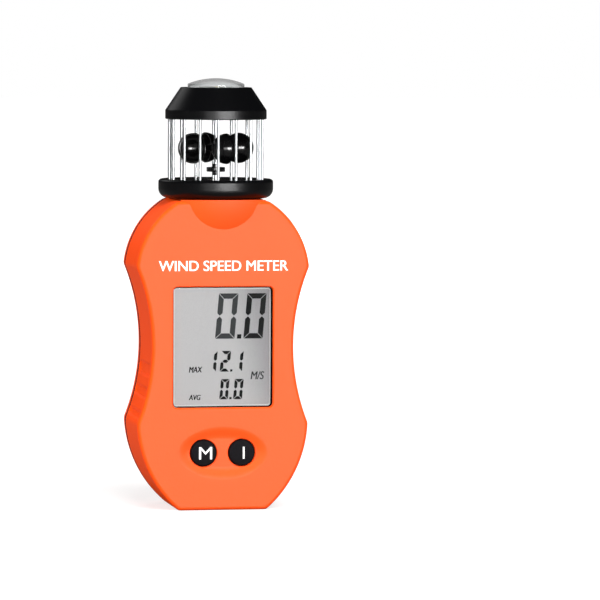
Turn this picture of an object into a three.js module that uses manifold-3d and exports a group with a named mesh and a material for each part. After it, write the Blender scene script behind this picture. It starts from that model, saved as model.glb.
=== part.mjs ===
// Handheld weather meter: a peanut-shaped two-shell housing with a display and two keys,
// a cage of rods round a four-cup wind rotor, and a liquid compass in the cap on top.
// Millimetres, +Z up. The front faces -Y, +X is to the right seen from the front, and the
// origin is the centre of the flat base. The rotor's axis is the Z axis.
import * as THREE from "three";
import { mergeVertices } from "three/addons/utils/BufferGeometryUtils.js";
import Module from "manifold-3d";

// ---- Housing outline, seen from the front ----
const BASE_HALF = 12;
const BASE_CORNER = 1;
const FOOT_BULGE = 2.76;
const HIP_HALF = 23.45;
const HIP_Z = 23.2;
const WAIST_ROOM = 2.7;
const LOBE_RADIUS = 23.8;
const LOBE_Z = 62.4;
const SHOULDER_RISE = 2.4;
const NECK_RISE = 20.3;

// ---- Housing depth and walls ----
const FRONT_DEPTH = 13.3;
const BACK_DEPTH = 12.9;
const PARTING_Y = 6.6;
const WALL = 1.8;
const FRONT_ROUND = 0.7;
const FRONT_DRAFT = 0.4;
const BACK_ROUND = 1.4;
const BACK_DRAFT = 0.35;
const GASKET_THICK = 0.4;
const GASKET_INSET = 0.35;
const GASKET_WIDTH = 1;
const GASKET_SQUEEZE = 0.9;
const SEAT_GAP = 0.1;
const SLIP_GAP = 0.15;

// ---- Neck boss that carries the collar's overhang ----
const BOSS_HALF = 9.5;
const BOSS_PROUD = 1.8;
const BOSS_LIFT = 1.7;

// ---- Side grips: height of each, its length along the side and its depth ----
const GRIPS = [
  { z: 37.4, length: 4.1 },
  { z: 31.4, length: 3.6 },
  { z: 25.6, length: 2.8 },
];
const GRIP_DEPTH = 0.6;
const GRIP_END_GAP = 1;

// ---- Display; the waist stands clear of the display panel by the wall and WAIST_ROOM ----
const WINDOW_WIDTH = 26.9;
const WINDOW_HEIGHT = 32.2;
const WINDOW_Z = 43.5;
const WINDOW_CORNER = 1.2;
const WINDOW_RECESS = 0.6;
const PANEL_LAP = 1.5;
const PANEL_THICK = 2;
const ZEBRA_WIDTH = 1.6;
const ZEBRA_DEPTH = 4;
const ZEBRA_END_GAP = 2.6;

// ---- Keys ----
const KEY_RADIUS = 3.5;
const KEY_SPREAD = 5.14;
const KEY_Z = 15.3;
const KEY_PROUD = 0.55;
const KEY_FLANGE = 0.8;
const KEY_FLANGE_THICK = 0.7;
const KEY_STEM_RADIUS = 1.5;
const KEY_TRAVEL = 0.6;
const KEY_STOP_GAP = 0.05;
const KEY_CHAMFER = 0.3;
const DISH_WIDTH = 24;
const DISH_HEIGHT = 14;
const DISH_DEPTH = 0.8;
const DISH_SLOPE = 2.2;
const SWITCH_SIZE = 4.5;
const SWITCH_BODY = 2.2;
const PLUNGER_RADIUS = 1.2;
const PLUNGER_RISE = 0.8;

// ---- Circuit board and housing screws ----
const BOARD_THICK = 1.2;
const BOARD_EDGE_GAP = 1.2;
const BOARD_BOTTOM = 6;
const BOARD_TOP = 77;
const SCREW_HEAD_RADIUS = 2.1;
const SCREW_HEAD_THICK = 1.5;
const SCREW_SHANK_RADIUS = 0.95;
const SCREW_BITE = 6;
const SCREW_SINK = 2.2;
const SCREW_SLOT_WIDTH = 0.6;
const SCREW_SLOT_DEPTH = 0.6;
const SCREW_SLOT_SHARE = 0.65;
const PILLAR_RADIUS = 2.6;
const PILLAR_WALL = 0.9;
const SCREW_TOP = { x: 14, z: 71.5 };
const SCREW_LOW = { x: 11.5, z: 9.5 };

// ---- Battery bay ----
const CELL_RADIUS = 10;
const CELL_THICK = 3.2;
const CELL_Z = 44;
const CELL_GAP = 0.3;
const CELL_LIP = 0.4;
const COVER_FLANGE_THICK = 0.9;
const COVER_DISC_THICK = 1.5;
const COVER_LAND = 1.3;
const COVER_SPIGOT = 2.1;
const COVER_SPIGOT_WALL = 1.3;
const COVER_CHAMFER = 0.2;
const COIN_SLOT_LENGTH = 14;
const COIN_SLOT_WIDTH = 1.8;
const COIN_SLOT_DEPTH = 0.9;
const SEAL_THICK = 0.3;
const HOLDER_WALL = 1.4;
const HOLDER_FLOOR = 1;
const CONTACT_THICK = 0.3;
const CONTACT_WIDTH = 4;
const CONTACT_END_GAP = 1;

// ---- Collar and cage ----
const ROD_COUNT = 16;
const ROD_CIRCLE = 12.5;
const ROD_RADIUS = 0.375;
const ROD_PHASE_DEG = -6.35;
const ROD_SEAT = 1.2;
const ROD_GAP = 0.05;
const CAGE_HEIGHT = 16;
const PLATE_LAND = 1;
const PLATE_THICK = 1.8;
const PLATE_SINK = 0.2;
const COLLAR_WALL = 1.8;
const COLLAR_HEIGHT = 5.1;
const COLLAR_TOP_ROUND = 1.3;
const COLLAR_LOW_ROUND = 2.2;
const COLLAR_BORE = 7;
const COLLAR_SCREW_X = 9.3;
const WIRE_HOLE = 2.5;

// ---- Rotor ----
const SHAFT_RADIUS = 0.5;
const RUNNING_GAP = 0.05;
const PRESS_GAP = 0.02;
const BEARING_RADIUS = 2;
const BEARING_DROP = 0.9;
const CUP_RADIUS = 4.1;
const CUP_WALL = 0.5;
const CUP_SWEEP_GAP = 1.275;
const CUP_RAISE = 0.2;
const CUP_COUNT = 4;
const CUP_PHASE_DEG = 16.75;
const HUB_RADIUS = 1.4;
const HUB_HEIGHT = 2.6;
const ARM_THICK = 0.8;
const ARM_HEIGHT = 1.6;
const MAGNET_RADIUS = 2.5;
const MAGNET_THICK = 1.2;
const MAGNET_LIFT = 1.9;
const MAGNET_HUB_RADIUS = 0.95;
const MAGNET_HUB_REACH = 0.9;
const SENSOR_SIZE = 3;
const SENSOR_THICK = 1.5;
const SENSOR_OFFSET = 4;

// ---- Cap and compass ----
const CAP_BAND = 2.4;
const CAP_HEIGHT = 8.5;
const CAP_RIM = 1.2;
const CAP_LIP = 0.55;
const TOP_PLATE_THICK = 1.7;
const CAPSULE_RADIUS = 7.6;
const CAPSULE_HEIGHT = 7.1;
const CAPSULE_PROUD = 2.4;
const CAPSULE_DOME = 1.5;
const CAPSULE_WALL = 0.6;
const CAPSULE_GROOVE = 0.7;
const COMPASS_CUP_WALL = 0.5;
const COMPASS_FLOOR = 0.8;
const CARD_RADIUS = 5.8;
const CARD_THICK = 0.4;
const CARD_DROP = 1.3;
const CARD_HUB_RADIUS = 1.5;
const CARD_HUB_HEIGHT = 0.9;
const CARD_HUB_BORE = 0.5;
const CARD_HUB_ROOF = 0.3;
const CARD_MAGNET = { length: 7, width: 1.6, thick: 0.8 };
const PIN_RADIUS = 0.35;

// ---- Levels and radii that follow from the sizes above ----
const NECK_Z = LOBE_Z + NECK_RISE;
const INNER_FRONT = -FRONT_DEPTH + WALL;
const INNER_BACK = BACK_DEPTH - WALL;
const DISH_FLOOR = -FRONT_DEPTH + DISH_DEPTH;
const PANEL_FRONT = INNER_FRONT + SEAT_GAP;
const PANEL_BACK = PANEL_FRONT + PANEL_THICK;
const BOARD_FRONT = PANEL_BACK + ZEBRA_DEPTH + 2 * SEAT_GAP;
const BOARD_BACK = BOARD_FRONT + BOARD_THICK;
const COLLAR_BOTTOM = NECK_Z + SEAT_GAP;
const COLLAR_TOP = COLLAR_BOTTOM + COLLAR_HEIGHT;
const PLATE_RADIUS = ROD_CIRCLE + PLATE_LAND;
const PLATE_TOP = COLLAR_TOP - PLATE_SINK;
const PLATE_BOTTOM = PLATE_TOP - PLATE_THICK;
const COLLAR_RADIUS = PLATE_RADIUS + SEAT_GAP + COLLAR_WALL;
const CAP_BOTTOM = COLLAR_TOP + CAGE_HEIGHT;
const CAP_TOP = CAP_BOTTOM + CAP_HEIGHT;
const TOP_PLATE_BOTTOM = CAP_BOTTOM + SEAT_GAP;
const TOP_PLATE_TOP = TOP_PLATE_BOTTOM + TOP_PLATE_THICK;
const CUP_REACH = ROD_CIRCLE - ROD_RADIUS - CUP_SWEEP_GAP - CUP_RADIUS;
const CUP_Z = COLLAR_TOP + CAGE_HEIGHT / 2 + CUP_RAISE;
const COVER_SEAT = BACK_DEPTH - COVER_FLANGE_THICK - SEAL_THICK - SEAT_GAP;
const SPIGOT_RADIUS = CELL_RADIUS + COVER_SPIGOT_WALL;
const COVER_RADIUS = SPIGOT_RADIUS + COVER_LAND;
const SPIGOT_END = BACK_DEPTH - COVER_FLANGE_THICK - COVER_SPIGOT;
const CELL_BACK = SPIGOT_END - CELL_GAP - CONTACT_THICK;
const CELL_FRONT = CELL_BACK - CELL_THICK;
const POCKET_RADIUS = CAPSULE_RADIUS + CAPSULE_GROOVE;
const CAPSULE_BOTTOM = CAP_TOP + CAPSULE_PROUD - CAPSULE_HEIGHT;
const CAPSULE_SHOULDER = CAPSULE_BOTTOM + CAPSULE_HEIGHT - CAPSULE_DOME;
const CARD_Z = CAPSULE_SHOULDER - CARD_DROP;

// ---- Facets round each kind of curve, steps along each arc, and how far a cutter runs past ----
const WIDE = 36;
const ROUND = 28;
const KEY_FACETS = 24;
const DISC_FACETS = 20;
const SMALL = 16;
const FINE = 10;
const ROD_FACETS = 8;
const GRIP_FACETS = 12;
const BOSS_AROUND = 72;
const BOSS_DOWN = 44;
const FOOT_STEPS = 7;
const WAIST_STEPS = 8;
const LOBE_STEPS = 7;
const CORNER_STEPS = 3;
const DOME_STEPS = 5;
const FILLET_SHARE = 0.3;
const PAST = 1;

const COLOURS = {
  shell: { color: 0xff6a2c, roughness: 0.5, metalness: 0 },
  black: { color: 0x141416, roughness: 0.4, metalness: 0 },
  gloss: { color: 0x08080a, roughness: 0.12, metalness: 0 },
  steel: { color: 0xc8ccd0, roughness: 0.2, metalness: 1 },
  brass: { color: 0xc9a558, roughness: 0.3, metalness: 1 },
  clear: { color: 0xe6ecee, roughness: 0.05, metalness: 0 },
  glass: { color: 0xb4b8b6, roughness: 0.2, metalness: 0 },
  board: { color: 0x1f5a34, roughness: 0.6, metalness: 0 },
  rubber: { color: 0x1c1c1e, roughness: 0.8, metalness: 0 },
  dial: { color: 0x1f6a4c, roughness: 0.5, metalness: 0 },
};

const wasm = await Module();
wasm.setup();
const meter = new THREE.Group();

// ---- Shape helpers ----

// A closed three.js geometry as a solid, turned to face outwards.
function solid(geometry) {
  const bare = geometry.clone();
  bare.deleteAttribute("normal");
  bare.deleteAttribute("uv");
  const merged = mergeVertices(bare, 1e-4);
  const vertProperties = new Float32Array(merged.attributes.position.array);
  const triVerts = new Uint32Array(merged.index.array);
  const made = new wasm.Manifold(new wasm.Mesh({ numProp: 3, vertProperties, triVerts }));
  if (made.volume() > 0) return made;
  triVerts.reverse();
  return new wasm.Manifold(new wasm.Mesh({ numProp: 3, vertProperties, triVerts }));
}

// Adds one solid to the meter as a named mesh.
function addPart(name, shape, finish) {
  const { vertProperties, triVerts } = shape.getMesh();
  const geometry = new THREE.BufferGeometry();
  geometry.setAttribute("position", new THREE.BufferAttribute(new Float32Array(vertProperties), 3));
  geometry.setIndex(new THREE.BufferAttribute(new Uint32Array(triVerts), 1));
  geometry.computeVertexNormals();
  const mesh = new THREE.Mesh(geometry, new THREE.MeshStandardMaterial(COLOURS[finish]));
  mesh.name = name;
  meter.add(mesh);
}

// A box from its low and high corners.
function box(low, high) {
  const size = high.map((value, i) => value - low[i]);
  const geometry = new THREE.BoxGeometry(...size);
  return solid(geometry.translate(...low.map((value, i) => value + size[i] / 2)));
}

// A solid of revolution about the Z axis, from [radius, z] points that start and end on the
// axis or close on themselves.
function turned(points, segments = ROUND) {
  const profile = points.map(([radius, z]) => new THREE.Vector2(radius, z));
  return solid(new THREE.LatheGeometry(profile, segments).rotateX(Math.PI / 2));
}

// A plain rod along Z.
function rodZ(radius, low, high, x = 0, y = 0, segments = ROUND) {
  const geometry = new THREE.CylinderGeometry(radius, radius, high - low, segments);
  return solid(geometry.rotateX(Math.PI / 2).translate(x, y, (low + high) / 2));
}

// A plain rod along Y.
function rodY(radius, low, high, x, z, segments = ROUND) {
  const geometry = new THREE.CylinderGeometry(radius, radius, high - low, segments);
  return solid(geometry.translate(x, (low + high) / 2, z));
}

// A flat shape drawn in X and Z, carried along Y from low to high.
function slabY(shape, low, high, curveSegments = 4) {
  const options = { depth: high - low, bevelEnabled: false, curveSegments };
  return solid(new THREE.ExtrudeGeometry(shape, options).rotateX(Math.PI / 2).translate(0, high, 0));
}

// A rectangle with rounded corners, centred on x = 0.
function roundedRectangle(width, height, z, corner) {
  const [w, h] = [width / 2 - corner, height / 2 - corner];
  const shape = new THREE.Shape();
  shape.absarc(w, z - h, corner, -Math.PI / 2, 0);
  shape.absarc(w, z + h, corner, 0, Math.PI / 2);
  shape.absarc(-w, z + h, corner, Math.PI / 2, Math.PI);
  shape.absarc(-w, z - h, corner, Math.PI, 1.5 * Math.PI);
  return shape;
}

// A solid through rings of equal length, each a list of 3-D points, with flat end caps.
function loft(rings) {
  const count = rings[0].length;
  const positions = rings.flat().flatMap((p) => [p.x, p.y, p.z]);
  const flat = rings[0].map((p) => new THREE.Vector2(p.x, p.z));
  const index = [];
  for (const [a, b, c] of THREE.ShapeUtils.triangulateShape(flat, [])) {
    const last = (rings.length - 1) * count;
    index.push(a, b, c, last + c, last + b, last + a);
  }
  for (let ring = 0; ring < rings.length - 1; ring++) {
    for (let i = 0; i < count; i++) {
      const [a, b] = [ring * count + i, ring * count + ((i + 1) % count)];
      index.push(a, a + count, b, b, a + count, b + count);
    }
  }
  const geometry = new THREE.BufferGeometry();
  geometry.setAttribute("position", new THREE.Float32BufferAttribute(positions, 3));
  geometry.setIndex(index);
  return solid(geometry);
}

// ---- Housing outline ----

// Points of a circular arc from p to q that bows out to the right of the way from p to q.
function bowedArc(p, q, bulge, steps) {
  const chord = q.clone().sub(p);
  const radius = (chord.lengthSq() / 4 + bulge * bulge) / (2 * Math.abs(bulge));
  const side = new THREE.Vector2(chord.y, -chord.x).normalize();
  const middle = p.clone().lerp(q, 0.5);
  const centre = middle.addScaledVector(side, bulge - Math.sign(bulge) * radius);
  const start = Math.atan2(p.y - centre.y, p.x - centre.x);
  const sweep = 2 * Math.asin(chord.length() / 2 / radius) * Math.sign(bulge);
  const at = (angle) => new THREE.Vector2(Math.cos(angle), Math.sin(angle)).multiplyScalar(radius).add(centre);
  return Array.from({ length: steps + 1 }, (_, i) => at(start + (sweep * i) / steps));
}

// The right-hand side of the outline, from the base up to the neck.
function rightSide(withBaseCorner) {
  const foot = new THREE.Vector2(BASE_HALF, 0);
  const hip = new THREE.Vector2(HIP_HALF, HIP_Z);
  const shoulderHalf = Math.sqrt(LOBE_RADIUS ** 2 - SHOULDER_RISE ** 2);
  const shoulder = new THREE.Vector2(shoulderHalf, LOBE_Z + SHOULDER_RISE);
  const footArc = bowedArc(foot, hip, FOOT_BULGE, FOOT_STEPS);
  const waistHalf = WINDOW_WIDTH / 2 + PANEL_LAP + WALL + WAIST_ROOM;
  const waistArc = bowedArc(hip, shoulder, waistHalf - (HIP_HALF + shoulderHalf) / 2, WAIST_STEPS);
  const points = [...footArc.slice(1, -1), ...waistArc];
  const [low, high] = [Math.asin(SHOULDER_RISE / LOBE_RADIUS), Math.asin(NECK_RISE / LOBE_RADIUS)];
  for (let i = 1; i <= LOBE_STEPS; i++) {
    const angle = low + ((high - low) * i) / LOBE_STEPS;
    points.push(new THREE.Vector2(LOBE_RADIUS * Math.cos(angle), LOBE_Z + LOBE_RADIUS * Math.sin(angle)));
  }
  if (!withBaseCorner) return [foot, ...points];
  const along = footArc[1].clone().sub(foot).setLength(BASE_CORNER).add(foot);
  const start = new THREE.Vector2(BASE_HALF - BASE_CORNER, 0);
  return [...new THREE.QuadraticBezierCurve(start, foot, along).getPoints(CORNER_STEPS), ...points];
}

// The closed outline, counterclockwise from the front, moved in by draft + round. The base
// stays level under draft alone, so that the meter stands flat.
function outline(draft, round, withBaseCorner = false) {
  const right = rightSide(withBaseCorner);
  const left = right.map((p) => new THREE.Vector2(-p.x, p.y)).reverse();
  const points = [...right, ...left];
  const normal = (a, b) => new THREE.Vector2(b.y - a.y, a.x - b.x).normalize();
  return points.map((p, i) => {
    const before = normal(points.at(i - 1), p);
    const after = normal(p, points[(i + 1) % points.length]);
    const miter = before.clone().add(after).divideScalar(1 + before.dot(after));
    const moved = p.clone().addScaledVector(miter, -(draft + round));
    moved.y -= draft * Math.max(0, 1 - p.y / HIP_Z);
    return moved;
  });
}

// One ring of the housing at depth y.
function housingRing(y, draft, round, withBaseCorner) {
  return outline(draft, round, withBaseCorner).map((p) => new THREE.Vector3(p.x, y, p.y));
}

// The housing's filled front half, from the face to the parting.
function frontForm() {
  const face = -FRONT_DEPTH;
  return loft([
    housingRing(face, FRONT_DRAFT, FRONT_ROUND, true),
    housingRing(face + FILLET_SHARE * FRONT_ROUND, FRONT_DRAFT, FILLET_SHARE * FRONT_ROUND, true),
    housingRing(face + FRONT_ROUND, FRONT_DRAFT, 0, true),
    housingRing(PARTING_Y - GASKET_THICK / 2, 0, 0, true),
  ]);
}

// The housing's filled rear half, from the parting to the back.
function rearForm() {
  return loft([
    housingRing(PARTING_Y + GASKET_THICK / 2, 0, 0, true),
    housingRing(BACK_DEPTH - BACK_ROUND, BACK_DRAFT, 0, true),
    housingRing(BACK_DEPTH - FILLET_SHARE * BACK_ROUND, BACK_DRAFT, FILLET_SHARE * BACK_ROUND, true),
    housingRing(BACK_DEPTH, BACK_DRAFT, BACK_ROUND, true),
  ]);
}

// The same inset all round, between two depths.
function hollow(low, high, inset) {
  return loft([housingRing(low, 0, inset), housingRing(high, 0, inset)]);
}

// Half the housing's width at height z.
function halfWidthAt(z) {
  const side = rightSide(false);
  const i = side.findIndex((p) => p.y > z);
  const [a, b] = [side[i - 1], side[i]];
  return a.x + ((b.x - a.x) * (z - a.y)) / (b.y - a.y);
}

// Four places, a pair at the top and a pair at the bottom of the housing.
function screwPlaces() {
  return [SCREW_TOP, SCREW_LOW].flatMap(({ x, z }) => [
    { x: -x, z },
    { x, z },
  ]);
}

// ---- Housing ----

// Shallow scallops across both sides, for the fingers.
function gripCuts() {
  const cuts = [];
  const low = -FRONT_DEPTH + FRONT_ROUND + GRIP_END_GAP;
  const high = BACK_DEPTH - BACK_ROUND - GRIP_END_GAP;
  for (const { z, length } of GRIPS) {
    const [below, above] = [halfWidthAt(z - length / 2), halfWidthAt(z + length / 2)];
    const lean = Math.atan2(below - above, length);
    for (const side of [-1, 1]) {
      const geometry = new THREE.SphereGeometry(1, GRIP_FACETS, GRIP_FACETS / 2);
      geometry.scale(GRIP_DEPTH, (high - low) / 2, length / 2);
      geometry.rotateY(-side * lean);
      geometry.translate((side * (below + above)) / 2, (low + high) / 2, z);
      cuts.push(solid(geometry));
    }
  }
  return wasm.Manifold.union(cuts);
}

// The low dome under the collar, cut level below it.
function neckBoss() {
  const radius = (BOSS_HALF ** 2 + BOSS_PROUD ** 2) / (2 * BOSS_PROUD);
  const centre = -FRONT_DEPTH - BOSS_PROUD + radius;
  const ball = new THREE.SphereGeometry(radius, BOSS_AROUND, BOSS_DOWN).translate(0, centre, NECK_Z + BOSS_LIFT);
  const low = [-BOSS_HALF - WALL, -FRONT_DEPTH - BOSS_PROUD - WALL, NECK_Z - BOSS_HALF - WALL];
  return solid(ball).intersect(box(low, [BOSS_HALF + WALL, INNER_FRONT, NECK_Z]));
}

// The shallow oval dish that the keys sit in.
function keyDish() {
  const ring = (y, slope) => {
    const [a, b] = [DISH_WIDTH / 2 - slope, DISH_HEIGHT / 2 - slope];
    const curve = new THREE.EllipseCurve(0, KEY_Z, a, b);
    return curve.getPoints(ROUND).slice(0, -1).map((p) => new THREE.Vector3(p.x, y, p.y));
  };
  const over = DISH_SLOPE / DISH_DEPTH;
  return loft([ring(-FRONT_DEPTH - PAST, -over), ring(DISH_FLOOR, DISH_SLOPE)]);
}

function addFrontShell() {
  let shell = frontForm().add(neckBoss());
  shell = shell.subtract(hollow(INNER_FRONT, PARTING_Y + WALL, WALL + FRONT_DRAFT));
  const pillarEnd = PARTING_Y - SEAT_GAP;
  const pilotLow = BACK_DEPTH - SCREW_SINK - SCREW_HEAD_THICK - SCREW_BITE - SEAT_GAP;
  for (const { x, z } of screwPlaces()) {
    shell = shell.add(rodY(PILLAR_RADIUS, INNER_FRONT - SEAT_GAP, pillarEnd, x, z, SMALL));
    shell = shell.subtract(rodY(SCREW_SHANK_RADIUS + ROD_GAP, pilotLow, pillarEnd + PAST, x, z, FINE));
  }
  shell = shell.subtract(gripCuts()).subtract(keyDish());
  const opening = roundedRectangle(WINDOW_WIDTH, WINDOW_HEIGHT, WINDOW_Z, WINDOW_CORNER);
  shell = shell.subtract(slabY(opening, -FRONT_DEPTH - PAST, INNER_FRONT + PAST));
  for (const side of [-1, 1]) {
    const place = side * KEY_SPREAD;
    shell = shell.subtract(rodY(KEY_RADIUS + SLIP_GAP, -FRONT_DEPTH - PAST, INNER_FRONT + PAST, place, KEY_Z));
    const screwHole = SCREW_SHANK_RADIUS + SLIP_GAP;
    shell = shell.subtract(rodZ(screwHole, NECK_Z - 2 * WALL, NECK_Z + PAST, side * COLLAR_SCREW_X, 0, FINE));
  }
  shell = shell.subtract(rodZ(WIRE_HOLE, NECK_Z - 2 * WALL, NECK_Z + PAST, 0, 0, SMALL));
  addPart("front_shell", shell, "shell");
}

function addRearShell() {
  let shell = rearForm().subtract(hollow(PARTING_Y - WALL, INNER_BACK, WALL + BACK_DRAFT));
  const headSeat = BACK_DEPTH - SCREW_SINK - SCREW_HEAD_THICK;
  for (const { x, z } of screwPlaces()) {
    const head = SCREW_HEAD_RADIUS + SLIP_GAP;
    shell = shell.add(rodY(head + PILLAR_WALL, PARTING_Y + SEAT_GAP, INNER_BACK + SEAT_GAP, x, z, SMALL));
    shell = shell.subtract(rodY(head, headSeat, BACK_DEPTH + PAST, x, z, SMALL));
    shell = shell.subtract(rodY(SCREW_SHANK_RADIUS + SLIP_GAP, PARTING_Y - PAST, headSeat + PAST, x, z, FINE));
  }
  shell = shell.subtract(rodY(COVER_RADIUS + SLIP_GAP, COVER_SEAT, BACK_DEPTH + PAST, 0, CELL_Z));
  shell = shell.subtract(rodY(SPIGOT_RADIUS + SEAT_GAP, INNER_BACK - PAST, COVER_SEAT + PAST, 0, CELL_Z));
  addPart("rear_shell", shell.subtract(gripCuts()), "shell");
}

function addGasket() {
  const half = (GASKET_SQUEEZE * GASKET_THICK) / 2;
  const [low, high] = [PARTING_Y - half, PARTING_Y + half];
  const inner = hollow(low - PAST, high + PAST, GASKET_INSET + GASKET_WIDTH);
  addPart("shell_gasket", hollow(low, high, GASKET_INSET).subtract(inner), "rubber");
}

// A pan-head screw along Y with its head at the back.
function housingScrew(x, z) {
  const headSeat = BACK_DEPTH - SCREW_SINK - SCREW_HEAD_THICK;
  const headTop = headSeat + SCREW_HEAD_THICK;
  const shank = rodY(SCREW_SHANK_RADIUS, headSeat - SCREW_BITE, headSeat + SEAT_GAP, x, z, FINE);
  const head = rodY(SCREW_HEAD_RADIUS, headSeat + ROD_GAP, headTop, x, z, SMALL);
  const [half, long] = [SCREW_SLOT_WIDTH / 2, SCREW_HEAD_RADIUS * SCREW_SLOT_SHARE];
  const floor = headTop - SCREW_SLOT_DEPTH;
  const cross = box([x - long, floor, z - half], [x + long, headTop + PAST, z + half]);
  const bar = box([x - half, floor, z - long], [x + half, headTop + PAST, z + long]);
  return shank.add(head).subtract(cross.add(bar));
}

function addHousingScrews() {
  screwPlaces().forEach(({ x, z }, i) => addPart(`housing_screw_${i + 1}`, housingScrew(x, z), "steel"));
}

// ---- Display ----

function addDisplay() {
  const clear = 2 * SEAT_GAP;
  const plate = roundedRectangle(WINDOW_WIDTH - clear, WINDOW_HEIGHT - clear, WINDOW_Z, WINDOW_CORNER - SEAT_GAP);
  addPart("lcd_window", slabY(plate, -FRONT_DEPTH + WINDOW_RECESS, INNER_FRONT), "clear");
  const half = WINDOW_WIDTH / 2 + PANEL_LAP;
  const rise = WINDOW_HEIGHT / 2 + PANEL_LAP;
  const panel = box([-half, PANEL_FRONT, WINDOW_Z - rise], [half, PANEL_BACK, WINDOW_Z + rise]);
  addPart("lcd_panel", panel, "glass");
  const reach = half - ZEBRA_END_GAP;
  const [low, high] = [PANEL_BACK + SEAT_GAP, PANEL_BACK + SEAT_GAP + ZEBRA_DEPTH];
  for (const [name, side] of [["upper", 1], ["lower", -1]]) {
    const middle = WINDOW_Z + side * (rise - ZEBRA_WIDTH / 2);
    const strip = box([-reach, low, middle - ZEBRA_WIDTH / 2], [reach, high, middle + ZEBRA_WIDTH / 2]);
    addPart(`zebra_strip_${name}`, strip, "rubber");
  }
}

// ---- Keys and circuit board ----

// A round key: its face, a flange behind the shell that keeps it in, and a stem.
function key(x) {
  const face = DISH_FLOOR - KEY_PROUD;
  const flange = INNER_FRONT + SEAT_GAP;
  const plungerTip = BOARD_FRONT - SEAT_GAP - SWITCH_BODY - PLUNGER_RISE;
  const profile = [
    [0, face],
    [KEY_RADIUS - KEY_CHAMFER, face],
    [KEY_RADIUS, face + KEY_CHAMFER],
    [KEY_RADIUS, flange],
    [KEY_RADIUS + KEY_FLANGE, flange],
    [KEY_RADIUS + KEY_FLANGE, flange + KEY_FLANGE_THICK],
    [KEY_STEM_RADIUS, flange + KEY_FLANGE_THICK],
    [KEY_STEM_RADIUS, plungerTip - KEY_TRAVEL - KEY_STOP_GAP],
    [0, plungerTip - KEY_TRAVEL - KEY_STOP_GAP],
  ].map(([radius, y]) => new THREE.Vector2(radius, y));
  return solid(new THREE.LatheGeometry(profile, KEY_FACETS).translate(x, 0, KEY_Z));
}

// A small push switch on the board, with its round plunger.
function pushSwitch(x) {
  const [base, half] = [BOARD_FRONT - SEAT_GAP, SWITCH_SIZE / 2];
  const body = box([x - half, base - SWITCH_BODY, KEY_Z - half], [x + half, base, KEY_Z + half]);
  const tip = base - SWITCH_BODY - PLUNGER_RISE;
  return body.add(rodY(PLUNGER_RADIUS, tip, base - SWITCH_BODY + SEAT_GAP, x, KEY_Z, FINE));
}

function addKeys() {
  for (const [name, side] of [["mode", -1], ["power", 1]]) {
    addPart(`button_${name}`, key(side * KEY_SPREAD), "black");
    addPart(`switch_${name}`, pushSwitch(side * KEY_SPREAD), "black");
  }
}

function addCircuitBoard() {
  const edge = HIP_HALF + LOBE_RADIUS;
  const trim = box([-edge, BOARD_FRONT - PAST, BOARD_BOTTOM], [edge, BOARD_BACK + PAST, BOARD_TOP]);
  let board = hollow(BOARD_FRONT, BOARD_BACK, WALL + FRONT_DRAFT + BOARD_EDGE_GAP).intersect(trim);
  for (const { x, z } of screwPlaces()) {
    board = board.subtract(rodY(PILLAR_RADIUS + 2 * SLIP_GAP, BOARD_FRONT - PAST, BOARD_BACK + PAST, x, z, SMALL));
  }
  addPart("circuit_board", board, "board");
}

// ---- Battery bay ----

// The moulded cup that holds the cell behind the rear shell, stepped wider for the cover.
function addBatteryHolder() {
  const cellRoom = CELL_RADIUS + CELL_GAP + CONTACT_THICK + SEAT_GAP;
  const coverRoom = SPIGOT_RADIUS + CELL_GAP;
  const outer = coverRoom + HOLDER_WALL;
  const floor = CELL_FRONT - CELL_GAP - CONTACT_THICK - SEAT_GAP;
  const cup = rodY(outer, floor - HOLDER_FLOOR, INNER_BACK - SEAT_GAP, 0, CELL_Z);
  const pocket = rodY(cellRoom, floor, INNER_BACK + PAST, 0, CELL_Z);
  const step = rodY(coverRoom, CELL_BACK, INNER_BACK + PAST, 0, CELL_Z);
  addPart("battery_holder", cup.subtract(pocket).subtract(step), "black");
}

// A leaf under the cell, and a leaf that stands against its rim.
function addContacts() {
  const floor = CELL_FRONT - CELL_GAP - CONTACT_THICK;
  const half = CONTACT_WIDTH / 2;
  const reach = CELL_RADIUS - CONTACT_END_GAP;
  const leaf = box([-half, floor, CELL_Z - reach], [half, floor + CONTACT_THICK, CELL_Z + reach]);
  addPart("negative_contact", leaf, "steel");
  const inner = CELL_RADIUS + CELL_GAP / 2;
  const ring = rodY(inner + CONTACT_THICK, CELL_FRONT, CELL_BACK, 0, CELL_Z);
  const band = ring.subtract(rodY(inner, CELL_FRONT - PAST, CELL_BACK + PAST, 0, CELL_Z));
  const cut = box([0, CELL_FRONT - PAST, CELL_Z - CONTACT_WIDTH], [2 * CELL_RADIUS, CELL_BACK + PAST, CELL_Z + CONTACT_WIDTH]);
  addPart("positive_contact", band.intersect(cut), "steel");
}

function addCell() {
  const profile = [
    [0, CELL_FRONT],
    [CELL_RADIUS - 2 * CELL_LIP, CELL_FRONT],
    [CELL_RADIUS - CELL_LIP, CELL_FRONT + CELL_LIP],
    [CELL_RADIUS, CELL_FRONT + 2 * CELL_LIP],
    [CELL_RADIUS, CELL_BACK],
    [0, CELL_BACK],
  ].map(([radius, y]) => new THREE.Vector2(radius, y));
  addPart("coin_cell", solid(new THREE.LatheGeometry(profile, ROUND).translate(0, 0, CELL_Z)), "steel");
}

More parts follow.
